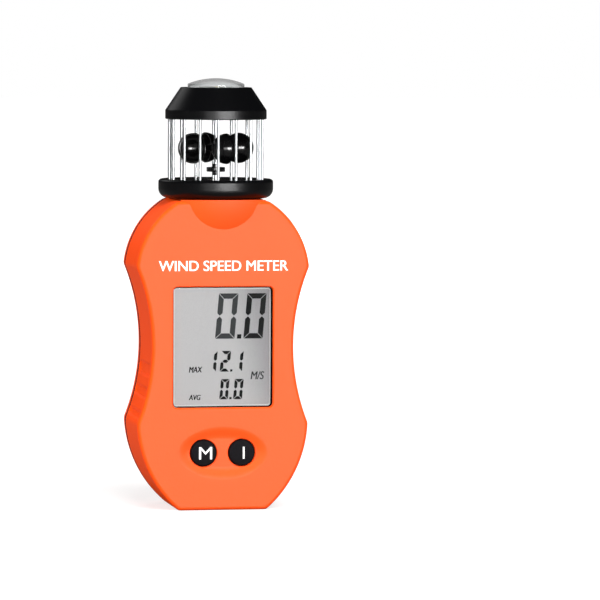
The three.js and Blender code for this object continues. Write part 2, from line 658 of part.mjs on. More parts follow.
// A screw-in cap: a flange flush with the back, a hollow spigot and a coin slot.
function addBatteryCover() {
  const disc = BACK_DEPTH - COVER_DISC_THICK;
  const profile = [
    [0, disc],
    [SPIGOT_RADIUS - COVER_SPIGOT_WALL, disc],
    [SPIGOT_RADIUS - COVER_SPIGOT_WALL, SPIGOT_END],
    [SPIGOT_RADIUS, SPIGOT_END],
    [SPIGOT_RADIUS, BACK_DEPTH - COVER_FLANGE_THICK],
    [COVER_RADIUS, BACK_DEPTH - COVER_FLANGE_THICK],
    [COVER_RADIUS, BACK_DEPTH - COVER_CHAMFER],
    [COVER_RADIUS - COVER_CHAMFER, BACK_DEPTH],
    [0, BACK_DEPTH],
  ].map(([radius, y]) => new THREE.Vector2(radius, y));
  const cap = solid(new THREE.LatheGeometry(profile, ROUND).translate(0, 0, CELL_Z));
  const [half, wide] = [COIN_SLOT_LENGTH / 2, COIN_SLOT_WIDTH / 2];
  const floor = BACK_DEPTH - COIN_SLOT_DEPTH;
  const slot = box([-half, floor, CELL_Z - wide], [half, BACK_DEPTH + PAST, CELL_Z + wide]);
  addPart("battery_cover", cap.subtract(slot), "shell");
  const low = COVER_SEAT + SEAT_GAP / 2;
  const ring = rodY(COVER_RADIUS - SEAT_GAP, low, low + SEAL_THICK, 0, CELL_Z);
  const flats = (SPIGOT_RADIUS + ROD_GAP) / Math.cos(Math.PI / ROUND);
  const bore = rodY(flats, low - PAST, low + SEAL_THICK + PAST, 0, CELL_Z);
  addPart("battery_cover_seal", ring.subtract(bore), "rubber");
}

// ---- Collar, base plate and cage ----

// The rods' places round the axis, counted from the front towards +X.
function rodPlaces() {
  return Array.from({ length: ROD_COUNT }, (_, i) => {
    const angle = THREE.MathUtils.degToRad(ROD_PHASE_DEG + (360 * i) / ROD_COUNT);
    return { x: ROD_CIRCLE * Math.sin(angle), y: -ROD_CIRCLE * Math.cos(angle) };
  });
}

// [radius, z] points of a quarter round from start to end angle, in degrees.
function quarter(radius, z, round, start) {
  return [0, 30, 60, 90].map((step) => {
    const angle = THREE.MathUtils.degToRad(start + step);
    return [radius + round * Math.cos(angle), z + round * Math.sin(angle)];
  });
}

function addCollar() {
  const seat = PLATE_BOTTOM - SEAT_GAP;
  const bore = PLATE_RADIUS + SEAT_GAP;
  const profile = [
    [COLLAR_BORE, COLLAR_BOTTOM],
    ...quarter(COLLAR_RADIUS - COLLAR_LOW_ROUND, COLLAR_BOTTOM + COLLAR_LOW_ROUND, COLLAR_LOW_ROUND, -90),
    ...quarter(COLLAR_RADIUS - COLLAR_TOP_ROUND, COLLAR_TOP - COLLAR_TOP_ROUND, COLLAR_TOP_ROUND, 0),
    [bore, COLLAR_TOP],
    [bore, seat],
    [COLLAR_BORE, seat],
    [COLLAR_BORE, COLLAR_BOTTOM],
  ];
  let collar = turned(profile, WIDE);
  for (const side of [-1, 1]) {
    const pilot = SCREW_SHANK_RADIUS + ROD_GAP;
    collar = collar.subtract(rodZ(pilot, COLLAR_BOTTOM - PAST, seat + PAST, side * COLLAR_SCREW_X, 0, FINE));
  }
  addPart("collar_ring", collar, "black");
}

// Screws from inside the housing up into the collar.
function addCollarScrews() {
  const headTop = NECK_Z - WALL - FRONT_DRAFT - SEAT_GAP;
  const tip = PLATE_BOTTOM - 2 * SEAT_GAP;
  for (const [i, side] of [-1, 1].entries()) {
    const x = side * COLLAR_SCREW_X;
    const head = rodZ(SCREW_HEAD_RADIUS, headTop - SCREW_HEAD_THICK, headTop, x, 0, SMALL);
    const shank = rodZ(SCREW_SHANK_RADIUS, headTop - SEAT_GAP, tip, x, 0, FINE);
    addPart(`collar_screw_${i + 1}`, head.add(shank), "steel");
  }
}

// A disc that seats the rods in blind holes, with a hole for its bearing.
function rodPlate(radius, low, high, holeLow, holeHigh) {
  let plate = rodZ(radius, low, high, 0, 0, WIDE);
  for (const { x, y } of rodPlaces()) {
    plate = plate.subtract(rodZ(ROD_RADIUS + ROD_GAP, holeLow, holeHigh, x, y, ROD_FACETS));
  }
  return plate.subtract(rodZ(BEARING_RADIUS + ROD_GAP, low - PAST, high + PAST, 0, 0, SMALL));
}

function addCage() {
  const seatLow = PLATE_TOP - ROD_SEAT;
  const seatHigh = TOP_PLATE_BOTTOM + ROD_SEAT;
  const lower = rodPlate(PLATE_RADIUS, PLATE_BOTTOM, PLATE_TOP, seatLow, PLATE_TOP + PAST);
  addPart("base_plate", lower, "gloss");
  const upper = rodPlate(PLATE_RADIUS - CAP_LIP, TOP_PLATE_BOTTOM, TOP_PLATE_TOP, TOP_PLATE_BOTTOM - PAST, seatHigh);
  addPart("cage_top_plate", upper, "black");
  rodPlaces().forEach(({ x, y }, i) => {
    const name = `guard_rod_${String(i + 1).padStart(2, "0")}`;
    addPart(name, rodZ(ROD_RADIUS, seatLow + ROD_GAP, seatHigh - ROD_GAP, x, y, ROD_FACETS), "steel");
  });
}

// ---- Rotor and its bearings ----

// A bearing cup: a bush with a blind bore from one end.
function bearing(low, high, boreLow, boreHigh) {
  const bush = rodZ(BEARING_RADIUS, low, high, 0, 0, SMALL);
  return bush.subtract(rodZ(SHAFT_RADIUS + RUNNING_GAP, boreLow, boreHigh, 0, 0, SMALL));
}

function addShaftAndBearings() {
  const low = PLATE_BOTTOM - BEARING_DROP;
  const high = TOP_PLATE_TOP - SEAT_GAP;
  const land = BEARING_DROP / 2;
  addPart("lower_bearing", bearing(low, PLATE_TOP, low + land, PLATE_TOP + PAST), "brass");
  addPart("upper_bearing", bearing(TOP_PLATE_BOTTOM, high, TOP_PLATE_BOTTOM - PAST, high - land), "brass");
  const [start, end] = [low + land + RUNNING_GAP, high - land - RUNNING_GAP];
  addPart("rotor_shaft", rodZ(SHAFT_RADIUS, start, end, 0, 0, SMALL), "steel");
}

// One open half-ball cup with its arm, at the given angle from the front.
function cup(angle) {
  const outer = new THREE.SphereGeometry(CUP_RADIUS, SMALL, FINE);
  const inner = new THREE.SphereGeometry(CUP_RADIUS - CUP_WALL, SMALL, FINE);
  const half = box([-2 * CUP_RADIUS, -2 * CUP_RADIUS, -2 * CUP_RADIUS], [0, 2 * CUP_RADIUS, 2 * CUP_RADIUS]);
  const shell = solid(outer).intersect(half).subtract(solid(inner));
  const arm = box(
    [-ARM_THICK, 0, -ARM_HEIGHT / 2],
    [0, CUP_REACH - CUP_RADIUS + CUP_WALL, ARM_HEIGHT / 2],
  );
  const placed = shell.translate([0, -CUP_REACH, 0]).add(arm.translate([0, -CUP_REACH + CUP_RADIUS - CUP_WALL, 0]));
  return placed.rotate([0, 0, angle]).translate([0, 0, CUP_Z]);
}

function addRotor() {
  let rotor = rodZ(HUB_RADIUS, CUP_Z - HUB_HEIGHT / 2, CUP_Z + HUB_HEIGHT / 2, 0, 0, SMALL);
  for (let i = 0; i < CUP_COUNT; i++) {
    rotor = rotor.add(cup(CUP_PHASE_DEG + (360 * i) / CUP_COUNT));
  }
  const bore = rodZ(SHAFT_RADIUS + PRESS_GAP, CUP_Z - HUB_HEIGHT, CUP_Z + HUB_HEIGHT, 0, 0, SMALL);
  addPart("cup_rotor", rotor.subtract(bore), "black");
}

function addMagnetAndSensor() {
  const low = PLATE_TOP + PLATE_SINK + MAGNET_LIFT;
  const high = low + MAGNET_THICK;
  const disc = rodZ(MAGNET_RADIUS, low, high, 0, 0, DISC_FACETS);
  const hub = rodZ(MAGNET_HUB_RADIUS, low - MAGNET_HUB_REACH, high + MAGNET_HUB_REACH, 0, 0, SMALL);
  const bore = rodZ(SHAFT_RADIUS + PRESS_GAP, low - 2 * PAST, high + 2 * PAST, 0, 0, SMALL);
  addPart("magnet_disc", disc.add(hub).subtract(bore), "black");
  const top = PLATE_BOTTOM - SEAT_GAP;
  const half = SENSOR_SIZE / 2;
  const sensor = box([SENSOR_OFFSET - half, -half, top - SENSOR_THICK], [SENSOR_OFFSET + half, half, top]);
  addPart("hall_sensor", sensor, "black");
}

// ---- Cap and compass ----

function addCap() {
  const outer = PLATE_RADIUS + SEAT_GAP;
  const lipRadius = PLATE_RADIUS - CAP_LIP + SEAT_GAP;
  const floor = CAPSULE_BOTTOM - SEAT_GAP;
  const profile = [
    [0, TOP_PLATE_TOP + SEAT_GAP],
    [lipRadius, TOP_PLATE_TOP + SEAT_GAP],
    [lipRadius, CAP_BOTTOM],
    [outer, CAP_BOTTOM],
    [outer, CAP_BOTTOM + CAP_BAND],
    [POCKET_RADIUS + CAP_RIM, CAP_TOP],
    [POCKET_RADIUS, CAP_TOP],
    [POCKET_RADIUS, floor],
    [0, floor],
  ];
  addPart("head_cap", turned(profile, WIDE), "black");
}

// [radius, z] points of a low dome from the rim up to the axis.
function dome(radius, base, height) {
  const ball = (radius ** 2 + height ** 2) / (2 * height);
  return Array.from({ length: DOME_STEPS + 1 }, (_, i) => {
    const r = radius * (1 - i / DOME_STEPS);
    return [r, base + height - ball + Math.sqrt(ball ** 2 - r ** 2)];
  });
}

function addCapsule() {
  const inner = CAPSULE_RADIUS - CAPSULE_WALL;
  const innerDome = dome(inner, CAPSULE_SHOULDER - CAPSULE_WALL, CAPSULE_DOME).reverse();
  const profile = [
    ...innerDome,
    [inner, CAPSULE_BOTTOM],
    [CAPSULE_RADIUS, CAPSULE_BOTTOM],
    ...dome(CAPSULE_RADIUS, CAPSULE_SHOULDER, CAPSULE_DOME),
  ];
  addPart("compass_capsule", turned(profile), "clear");
  const cupOuter = inner - ROD_GAP;
  const cupFloor = CAPSULE_BOTTOM + COMPASS_FLOOR;
  const wallTop = CARD_Z + CARD_THICK;
  const cup = [
    [0, CAPSULE_BOTTOM],
    [cupOuter, CAPSULE_BOTTOM],
    [cupOuter, wallTop],
    [cupOuter - COMPASS_CUP_WALL, wallTop],
    [cupOuter - COMPASS_CUP_WALL, cupFloor],
    [0, cupFloor],
  ];
  addPart("compass_base", turned(cup), "black");
}

// The card with its bar magnet and jewelled hub, which turn on a fixed pin.
function addCompassCard() {
  const hubTop = CARD_Z + CARD_THICK + CARD_HUB_HEIGHT;
  const bore = rodZ(CARD_HUB_BORE, CAPSULE_BOTTOM, hubTop - CARD_HUB_ROOF, 0, 0, SMALL);
  addPart("compass_card", rodZ(CARD_RADIUS, CARD_Z, CARD_Z + CARD_THICK).subtract(bore), "dial");
  const { length, width, thick } = CARD_MAGNET;
  const low = CARD_Z - ROD_GAP - thick;
  const bar = box([-width / 2, -length / 2, low], [width / 2, length / 2, CARD_Z - ROD_GAP]);
  addPart("compass_magnet", bar.subtract(bore), "steel");
  const hub = rodZ(CARD_HUB_RADIUS, CARD_Z + CARD_THICK + ROD_GAP / 2, hubTop, 0, 0, DISC_FACETS);
  addPart("compass_hub", hub.subtract(bore), "brass");
  const tip = hubTop - CARD_HUB_ROOF - RUNNING_GAP;
  const foot = CAPSULE_BOTTOM + COMPASS_FLOOR + ROD_GAP / 2;
  const pin = [
    [0, foot],
    [2 * PIN_RADIUS, foot],
    [2 * PIN_RADIUS, foot + 2 * PIN_RADIUS],
    [PIN_RADIUS, foot + 3 * PIN_RADIUS],
    [PIN_RADIUS, tip - 2 * PIN_RADIUS],
    [0, tip],
  ];
  addPart("compass_pin", turned(pin, FINE), "steel");
}

addFrontShell();
addRearShell();
addGasket();
addHousingScrews();
addDisplay();
addKeys();
addCircuitBoard();
addBatteryHolder();
addContacts();
addCell();
addBatteryCover();
addCollar();
addCollarScrews();
addCage();
addShaftAndBearings();
addRotor();
addMagnetAndSensor();
addCap();
addCapsule();
addCompassCard();

export default meter;
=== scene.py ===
"""The looks of a handheld weather meter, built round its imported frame.

Classes hold their sizes in millimetres, and meshes become metres as they are made.
The front faces -Y, the rotor's axis is the Z axis, and the base stands on z = 0.
"""
import logging
import math
from collections.abc import Callable
from dataclasses import dataclass
from enum import Enum

import bmesh
import bpy
import numpy as np
from mathutils import Matrix, Vector


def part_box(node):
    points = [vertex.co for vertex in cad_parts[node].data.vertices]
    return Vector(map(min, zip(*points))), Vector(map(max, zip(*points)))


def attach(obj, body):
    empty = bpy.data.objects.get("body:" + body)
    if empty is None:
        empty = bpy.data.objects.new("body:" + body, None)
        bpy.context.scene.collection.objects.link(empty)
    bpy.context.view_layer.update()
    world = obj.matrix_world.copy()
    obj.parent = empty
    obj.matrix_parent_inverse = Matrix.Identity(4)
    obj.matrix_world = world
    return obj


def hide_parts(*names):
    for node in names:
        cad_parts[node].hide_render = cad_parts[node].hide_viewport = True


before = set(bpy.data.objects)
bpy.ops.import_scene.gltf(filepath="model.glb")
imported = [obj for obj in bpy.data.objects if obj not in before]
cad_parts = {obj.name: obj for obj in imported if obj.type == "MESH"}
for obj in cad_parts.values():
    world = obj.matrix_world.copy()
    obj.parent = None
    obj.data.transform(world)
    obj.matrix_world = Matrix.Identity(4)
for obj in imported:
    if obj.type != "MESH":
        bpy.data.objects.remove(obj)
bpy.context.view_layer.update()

MM = 0.001
# Points of a mesh that lie nearer than this are one point.
WELD_MM = 0.001
LETTER_WELD_MM = 0.002
# A radius below this is on the axis.
ON_AXIS = 1e-6
# The most of an edge that the rounding of one of its corners takes.
FILLET_SHARE = 0.49
LOG = logging.getLogger("weather_meter")
Piece = bpy.types.Object
Material = bpy.types.Material
Tree = bpy.types.NodeTree
Node = bpy.types.Node
Socket = bpy.types.NodeSocket


class Body(Enum):
    """The bodies that pieces ride on."""

    HOUSING = "housing"
    ROTOR = "rotor"
    MODE_KEY = "mode_key"
    POWER_KEY = "power_key"
    COMPASS = "compass_float"
    COVER = "cover_turn"


class Axis(Enum):
    """The axis that a turned piece is turned about, as the order of (side, up, along)."""

    X = (1, 2, 0)
    Y = (2, 0, 1)
    Z = (0, 1, 2)


class Join(Enum):
    """How one solid changes another."""

    ADD = "UNION"
    CUT = "DIFFERENCE"
    KEEP = "INTERSECT"


class Shown(Enum):
    """What a lamp does, as (lights the meter, shows in its polished surfaces)."""

    BOTH = (True, True)
    LIGHT = (True, False)
    REFLECTION = (False, True)


# ---- Mesh work ----


def box_mm(node: str) -> tuple[Vector, Vector]:
    """Returns the lowest and highest corner of a CAD node, in millimetres."""
    low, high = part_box(node)
    return low / MM, high / MM


def centre_mm(node: str) -> tuple:
    """Returns the middle of a CAD node's box, in millimetres."""
    return tuple((a + b) / 2 for a, b in zip(*box_mm(node)))


def placed(name: str, data: bpy.types.ID) -> Piece:
    """Returns a new object for a mesh, text, lamp or camera, linked to the scene."""
    thing = bpy.data.objects.new(name, data)
    bpy.context.scene.collection.objects.link(thing)
    return thing


def make_piece(name: str, points: list, faces: list) -> Piece:
    """Makes a closed mesh object whose faces point outwards.

    Args:
        name: The piece's name.
        points: Its points in millimetres.
        faces: Its faces as lists of point numbers.

    Returns:
        The new object, linked to the scene.
    """
    mesh = bpy.data.meshes.new(name)
    mesh.from_pydata([tuple(float(c) * MM for c in p) for p in points], [], faces)
    form = bmesh.new()
    form.from_mesh(mesh)
    bmesh.ops.remove_doubles(form, verts=form.verts, dist=WELD_MM * MM)
    bmesh.ops.recalc_face_normals(form, faces=form.faces)
    form.to_mesh(mesh)
    form.free()
    return placed(name, mesh)


def settle(piece: Piece) -> Piece:
    """Turns a piece's modifiers into plain mesh and returns the piece."""
    graph = bpy.context.evaluated_depsgraph_get()
    mesh = bpy.data.meshes.new_from_object(piece.evaluated_get(graph), depsgraph=graph)
    piece.modifiers.clear()
    piece.data = mesh
    return piece


def discard(piece: Piece) -> None:
    """Removes a helper object."""
    bpy.data.objects.remove(piece)


def combine(piece: Piece, tool: Piece, how: Join) -> Piece:
    """Joins a tool to a solid or cuts it out, and removes the tool.

    Args:
        piece: The solid that changes.
        tool: The solid that changes it.
        how: Join.ADD, Join.CUT or Join.KEEP.

    Returns:
        The changed piece.
    """
    change = piece.modifiers.new("combine", "BOOLEAN")
    change.operation = how.value
    change.object = tool
    change.solver = "MANIFOLD"
    settle(piece)
    discard(tool)
    return piece


def smooth(piece: Piece, sharp_deg: float = 24.0) -> Piece:
    """Shades a piece smooth, with flat faces kept flat.

    Args:
        piece: The piece.
        sharp_deg: The angle above which an edge stays sharp.

    Returns:
        The piece.
    """
    piece.data.shade_smooth()
    piece.data.set_sharp_from_angle(angle=math.radians(sharp_deg))
    weighted = piece.modifiers.new("weighted", "WEIGHTED_NORMAL")
    weighted.keep_sharp = True
    return settle(piece)


def loft(name: str, rings: list) -> Piece:
    """Makes a solid through rings of equal length, with a flat face at each end.

    Args:
        name: The piece's name.
        rings: Closed rings of points in millimetres.

    Returns:
        The solid.
    """
    count = len(rings[0])
    points = [p for ring in rings for p in ring]
    faces = [list(range(count)), list(range(len(points) - count, len(points)))]
    for ring in range(len(rings) - 1):
        low = ring * count
        for i in range(count):
            j = (i + 1) % count
            faces.append([low + i, low + j, low + count + j, low + count + i])
    return make_piece(name, points, faces)


def block(name: str, low: tuple, high: tuple) -> Piece:
    """Makes a box between its lowest and its highest corner."""
    corners = [(low[0], low[1]), (high[0], low[1]), (high[0], high[1]), (low[0], high[1])]
    return loft(name, [[(x, y, z) for x, y in corners] for z in (low[2], high[2])])


def plate(name: str, outline: list, ends: tuple) -> Piece:
    """Makes a plate of an (x, z) outline between two depths."""
    return loft(name, [[(x, y, z) for x, z in outline] for y in ends])


def section(bore: float, radius: float, low: float, high: float, rounds: tuple = (0,) * 4) -> list:
    """Lists the corners of a disc's or ring's section, from its low inner edge.

    Args:
        bore: The inner radius, or 0 for a disc.
        radius: The outer radius.
        low: The lower end.
        high: The upper end.
        rounds: How much each of the four corners is rounded.

    Returns:
        (radius, along, round) of each corner.
    """
    edges = ((bore, low), (radius, low), (radius, high), (bore, high))
    return [(*edge, size) for edge, size in zip(edges, rounds)]


def filleted(corners: list, steps: int = 6) -> list:
    """Rounds the corners of a line in a plane.

    Args:
        corners: (across, along, round) of each corner; round 0 keeps it sharp.
        steps: Faces round each corner.

    Returns:
        (across, along) of each point.
    """
    out = []
    for i, (across, along, size) in enumerate(corners):
        here = Vector((across, along))
        if size <= 0:
            out.append(tuple(here))
            continue
        back = Vector(corners[i - 1][:2]) - here
        ahead = Vector(corners[(i + 1) % len(corners)][:2]) - here
        half = back.angle(ahead) / 2
        reach = min(size / math.tan(half), FILLET_SHARE * back.length, FILLET_SHARE * ahead.length)
        size = reach * math.tan(half)
        middle = here + (back.normalized() + ahead.normalized()).normalized() * size / math.sin(half)
        start = here + back.normalized() * reach - middle
        sweep = start.angle_signed(here + ahead.normalized() * reach - middle)
        for step in range(steps + 1):
            turn = Matrix.Rotation(-sweep * step / steps, 2)
            out.append(tuple(middle + turn @ start))
    return out


def lathe(
    name: str, profile: list, centre: tuple = (0, 0, 0), axis: Axis = Axis.Z, steps: int = 96
) -> Piece:
    """Makes a solid of revolution.

    Args:
        name: The piece's name.
        profile: (radius, along) points that start and end on the axis, or close on themselves.
        centre: A point on the axis, in millimetres.
        axis: The axis that it is turned about.
        steps: Faces round the axis.

    Returns:
        The solid.
    """
    side, up, along = axis.value
    points, rings = [], []
    for radius, height in profile:
        count = steps if radius > ON_AXIS else 1
        rings.append(list(range(len(points), len(points) + count)))
        for step in range(count):
            angle = 2 * math.pi * step / steps
            point = [0.0, 0.0, 0.0]
            point[side] = centre[side] + radius * math.cos(angle)
            point[up] = centre[up] + radius * math.sin(angle)
            point[along] = centre[along] + height
            points.append(point)
    faces = []
    closed = profile[0][0] > ON_AXIS
    pairs = list(zip(rings, rings[1:])) + ([(rings[-1], rings[0])] if closed else [])
    for low, high in pairs:
        for step in range(steps):
            a, b = low[step % len(low)], low[(step + 1) % len(low)]
            c, d = high[(step + 1) % len(high)], high[step % len(high)]
            face = list(dict.fromkeys([a, b, c, d]))
            if len(face) > 2:
                faces.append(face)
    return make_piece(name, points, faces)


def turned(name: str, corners: list, **place) -> Piece:
    """Makes a solid of revolution from (radius, along, round) corners, smoothly shaded."""
    return smooth(lathe(name, filleted(corners), **place))


def rounded_rectangle(width: float, height: float, corner: float, steps: int = 8) -> list:
    """Lists the points of a rectangle with round corners.

    Args:
        width: Its width.
        height: Its height.
        corner: The radius of its corners.
        steps: Faces round each corner.

    Returns:
        (across, up) of each point, about the rectangle's middle.
    """
    points = []
    for quarter, (x, z) in enumerate([(1, -1), (1, 1), (-1, 1), (-1, -1)]):
        for step in range(steps + 1):
            angle = math.radians(90 * (quarter - 1) + 90 * step / steps)
            across = x * (width / 2 - corner) + corner * math.cos(angle)
            points.append((across, z * (height / 2 - corner) + corner * math.sin(angle)))
    return points


def flared_hole(name: str, outline: Callable[[float], list], layers: list) -> Piece:
    """Makes a cutter along Y whose outline grows by a given margin at each depth.

    Args:
        name: The cutter's name.
        outline: A function from a margin in millimetres to (x, z) points.
        layers: (y, margin) pairs from the outside in.

    Returns:
        The cutter.
    """
    return loft(name, [[(x, y, z) for x, z in outline(margin)] for y, margin in layers])


def lip_layers(outside: float, face: float, inside: float, lip: float, steps: int = 5) -> list:
    """Lists the layers of a hole with a round lip at its face.

    Args:
        outside: Where the cutter starts, clear of the face.
        face: Where the face is.
        inside: Where the cutter ends.
        lip: The size of the round lip.
        steps: Faces across the lip.

    Returns:
        (y, margin) of each layer.
    """
    layers = [(outside, lip)]
    for step in range(steps + 1):
        angle = math.pi / 2 * step / steps
        layers.append((face + lip * math.sin(angle), lip * (1 - math.cos(math.pi / 2 - angle))))
    return [*layers, (inside, 0)]


def joined(name: str, parts: list) -> Piece:
    """Joins pieces into one mesh.

    Args:
        name: The new piece's name.
        parts: The pieces, which are removed.

    Returns:
        The new piece.
    """
    form = bmesh.new()
    for part in parts:
        form.from_mesh(part.data)
        discard(part)
    mesh = bpy.data.meshes.new(name)
    form.to_mesh(mesh)
    form.free()
    return placed(name, mesh)


def lettering(
    words: str, size: tuple, place: Matrix, thick: float = 0.03, bold: float = 0.0, lean: float = 0.0
) -> Piece:
    """Makes raised lettering of a given size.

    Args:
        words: The letters.
        size: Width and height in millimetres, both filled.
        place: Where the lettering's middle goes, with its face along the matrix's Z.
        thick: How thick the ink lies, in millimetres.
        bold: How much wider every stroke gets, in millimetres.
        lean: Slope of the strokes, in radians.

    Returns:
        The lettering as a mesh.
    """
    curve = bpy.data.curves.new("lettering", "FONT")
    curve.body = words
    curve.extrude = 0.5
    curve.shear = math.tan(lean)
    source = placed("lettering", curve)
    bpy.context.view_layer.update()
    graph = bpy.context.evaluated_depsgraph_get()
    mesh = bpy.data.meshes.new_from_object(source.evaluated_get(graph), depsgraph=graph)
    discard(source)
    points = np.array([v.co for v in mesh.vertices])
    low, high = points.min(0), points.max(0)
    wide, tall = (size[0] - bold) / (high[0] - low[0]), size[1] / (high[1] - low[1])
    scale = Matrix.Diagonal((wide, tall, thick, 1))
    centre = Matrix.Translation(-Vector((low + high) / 2))
    pieces = []
    for shift in (-bold / 2, bold / 2) if bold else (0,):
        copy = mesh.copy()
        aside = Matrix.Translation((shift, 0, 0))
        copy.transform(Matrix.Scale(MM, 4) @ place @ aside @ scale @ centre)
        form = bmesh.new()
        form.from_mesh(copy)
        bmesh.ops.remove_doubles(form, verts=form.verts, dist=LETTER_WELD_MM * MM)
        form.to_mesh(copy)
        form.free()
        pieces.append(placed("lettering", copy))
    bpy.data.meshes.remove(mesh)
    return combine(*pieces, Join.ADD) if bold else pieces[0]


def on_front(x: float, y: float, z: float) -> Matrix:
    """Returns the place of lettering that faces -Y, with its middle at a point."""
    return Matrix.Translation((x, y, z)) @ Matrix.Rotation(math.pi / 2, 4, "X")


# ---- Node trees ----


def add_node(
    tree: Tree, kind: str, values: dict | None = None, links: dict | None = None, **settings
) -> Node:
    """Adds a node to a shader or geometry tree.

    Args:
        tree: The node tree.
        kind: The node's type.
        values: Constant of each socket, by name or number.
        links: Source socket of each socket, by name or number.
        settings: The node's own properties.

    Returns:
        The node.
    """
    node = tree.nodes.new(kind)
    for key, value in settings.items():
        setattr(node, key, value)
    for key, value in (values or {}).items():
        node.inputs[key].default_value = value
    for key, socket in (links or {}).items():
        tree.links.new(socket, node.inputs[key])
    return node


class Repeater:
    """Geometry Nodes that repeat a piece, turned about Z or moved along a step each time."""

    INPUTS = (
        ("Count", "NodeSocketInt"),
        ("First angle", "NodeSocketFloat"),
        ("Angle step", "NodeSocketFloat"),
        ("Step", "NodeSocketVector"),
        ("Finish", "NodeSocketMaterial"),
    )

    def __init__(self) -> None:
        """Builds the tree once."""
        self.tree = bpy.data.node_groups.new("repeat_piece", "GeometryNodeTree")
        tree = self.tree
        tree.interface.new_socket(name="Geometry", in_out="INPUT", socket_type="NodeSocketGeometry")
        self.sockets = {}
        for name, kind in self.INPUTS:
            socket = tree.interface.new_socket(name=name, in_out="INPUT", socket_type=kind)
            self.sockets[name] = socket.identifier
        tree.interface.new_socket(name="Geometry", in_out="OUTPUT", socket_type="NodeSocketGeometry")
        given = add_node(tree, "NodeGroupInput").outputs
        number = add_node(tree, "GeometryNodeInputIndex").outputs[0]
        links = {0: given["Step"], 1: number}
        moved = add_node(tree, "ShaderNodeVectorMath", links=links, operation="MULTIPLY")
        links = {"Count": given["Count"], "Position": moved.outputs[0]}
        points = add_node(tree, "GeometryNodePoints", links=links)
        links = {0: given["Angle step"], 1: number, 2: given["First angle"]}
        turn = add_node(tree, "ShaderNodeMath", links=links, operation="MULTIPLY_ADD")
        about = add_node(tree, "ShaderNodeCombineXYZ", links={"Z": turn.outputs[0]})
        links = {0: points.outputs[0], "Instance": given["Geometry"], "Rotation": about.outputs[0]}
        copies = add_node(tree, "GeometryNodeInstanceOnPoints", links=links)
        real = add_node(tree, "GeometryNodeRealizeInstances", links={0: copies.outputs[0]})
        links = {0: real.outputs[0], "Material": given["Finish"]}
        dressed = add_node(tree, "GeometryNodeSetMaterial", links=links)
        add_node(tree, "NodeGroupOutput", links={0: dressed.outputs[0]})

    def run(
        self,
        piece: Piece,
        finish: Material,
        count: int,
        first_deg: float = 0.0,
        step_deg: float | None = None,
        step: tuple = (0, 0, 0),
    ) -> Piece:
        """Repeats a piece in place.

        Args:
            piece: The piece, at its place in the first copy before it is turned.
            finish: The material of every copy.
            count: How many copies.
            first_deg: The first copy's angle about Z, in degrees.
            step_deg: The angle from each copy to the next; a full turn is shared out if not given.
            step: The move from each copy to the next, in millimetres.

        Returns:
            The piece, now all its copies in one plain mesh.
        """
        repeat = piece.modifiers.new("repeat", "NODES")
        repeat.node_group = self.tree
        turn = 360 / count if step_deg is None else step_deg
        given = {
            "Count": count,
            "First angle": math.radians(first_deg),
            "Angle step": math.radians(turn),
            "Step": tuple(c * MM for c in step),
            "Finish": finish,
        }
        for name, value in given.items():
            repeat[self.sockets[name]] = value
        return settle(piece)


# ---- Finishes ----


def linear(colour: str) -> tuple[float, float, float, float]:
    """Returns an sRGB hex colour as linear red, green, blue and alpha."""
    shares = [int(colour[i : i + 2], 16) / 255 for i in (1, 3, 5)]
    lit = [c / 12.92 if c <= 0.04045 else ((c + 0.055) / 1.055) ** 2.4 for c in shares]
    return (*lit, 1.0)


def blank_material(name: str) -> tuple:
    """Returns a new material with its tree, its Principled shader and its object coordinates."""
    material = bpy.data.materials.new(name)
    material.use_nodes = True
    tree = material.node_tree
    surface = next(n for n in tree.nodes if n.type == "BSDF_PRINCIPLED")
    return material, tree, surface, add_node(tree, "ShaderNodeTexCoord").outputs["Object"]


# Numbers of the colour sockets on Blender's Mix node.
MIX_SHARE, MIX_A, MIX_B, MIX_RESULT = 0, 6, 7, 2


def textured(
    tree: Tree, surface: Node, colours: tuple, tone: Socket, grain: Socket, gloss: tuple,
    relief: float, depth_mm: float,
) -> None:
    """Gives a shader a colour that drifts, an uneven gloss and a fine relief.

    Args:
        tree: The material's tree.
        surface: Its Principled shader.
        colours: The two hex colours that it drifts between.
        tone: The socket of the pattern that the colour follows.
        grain: The socket of the pattern that gloss and relief follow.
        gloss: The lowest and highest roughness.
        relief: How strong the relief is.
        depth_mm: How deep the relief is at full strength, in millimetres.
    """
    ends = {MIX_A: linear(colours[0]), MIX_B: linear(colours[1])}
    colour = add_node(tree, "ShaderNodeMix", ends, {MIX_SHARE: tone}, data_type="RGBA")
    ends = {"To Min": gloss[0], "To Max": gloss[1]}
    rough = add_node(tree, "ShaderNodeMapRange", ends, {"Value": grain})
    depth = {"Strength": relief, "Distance": depth_mm * MM}
    bump = add_node(tree, "ShaderNodeBump", depth, {"Height": grain})
    tree.links.new(colour.outputs[MIX_RESULT], surface.inputs["Base Color"])
    tree.links.new(rough.outputs[0], surface.inputs["Roughness"])
    tree.links.new(bump.outputs[0], surface.inputs["Normal"])


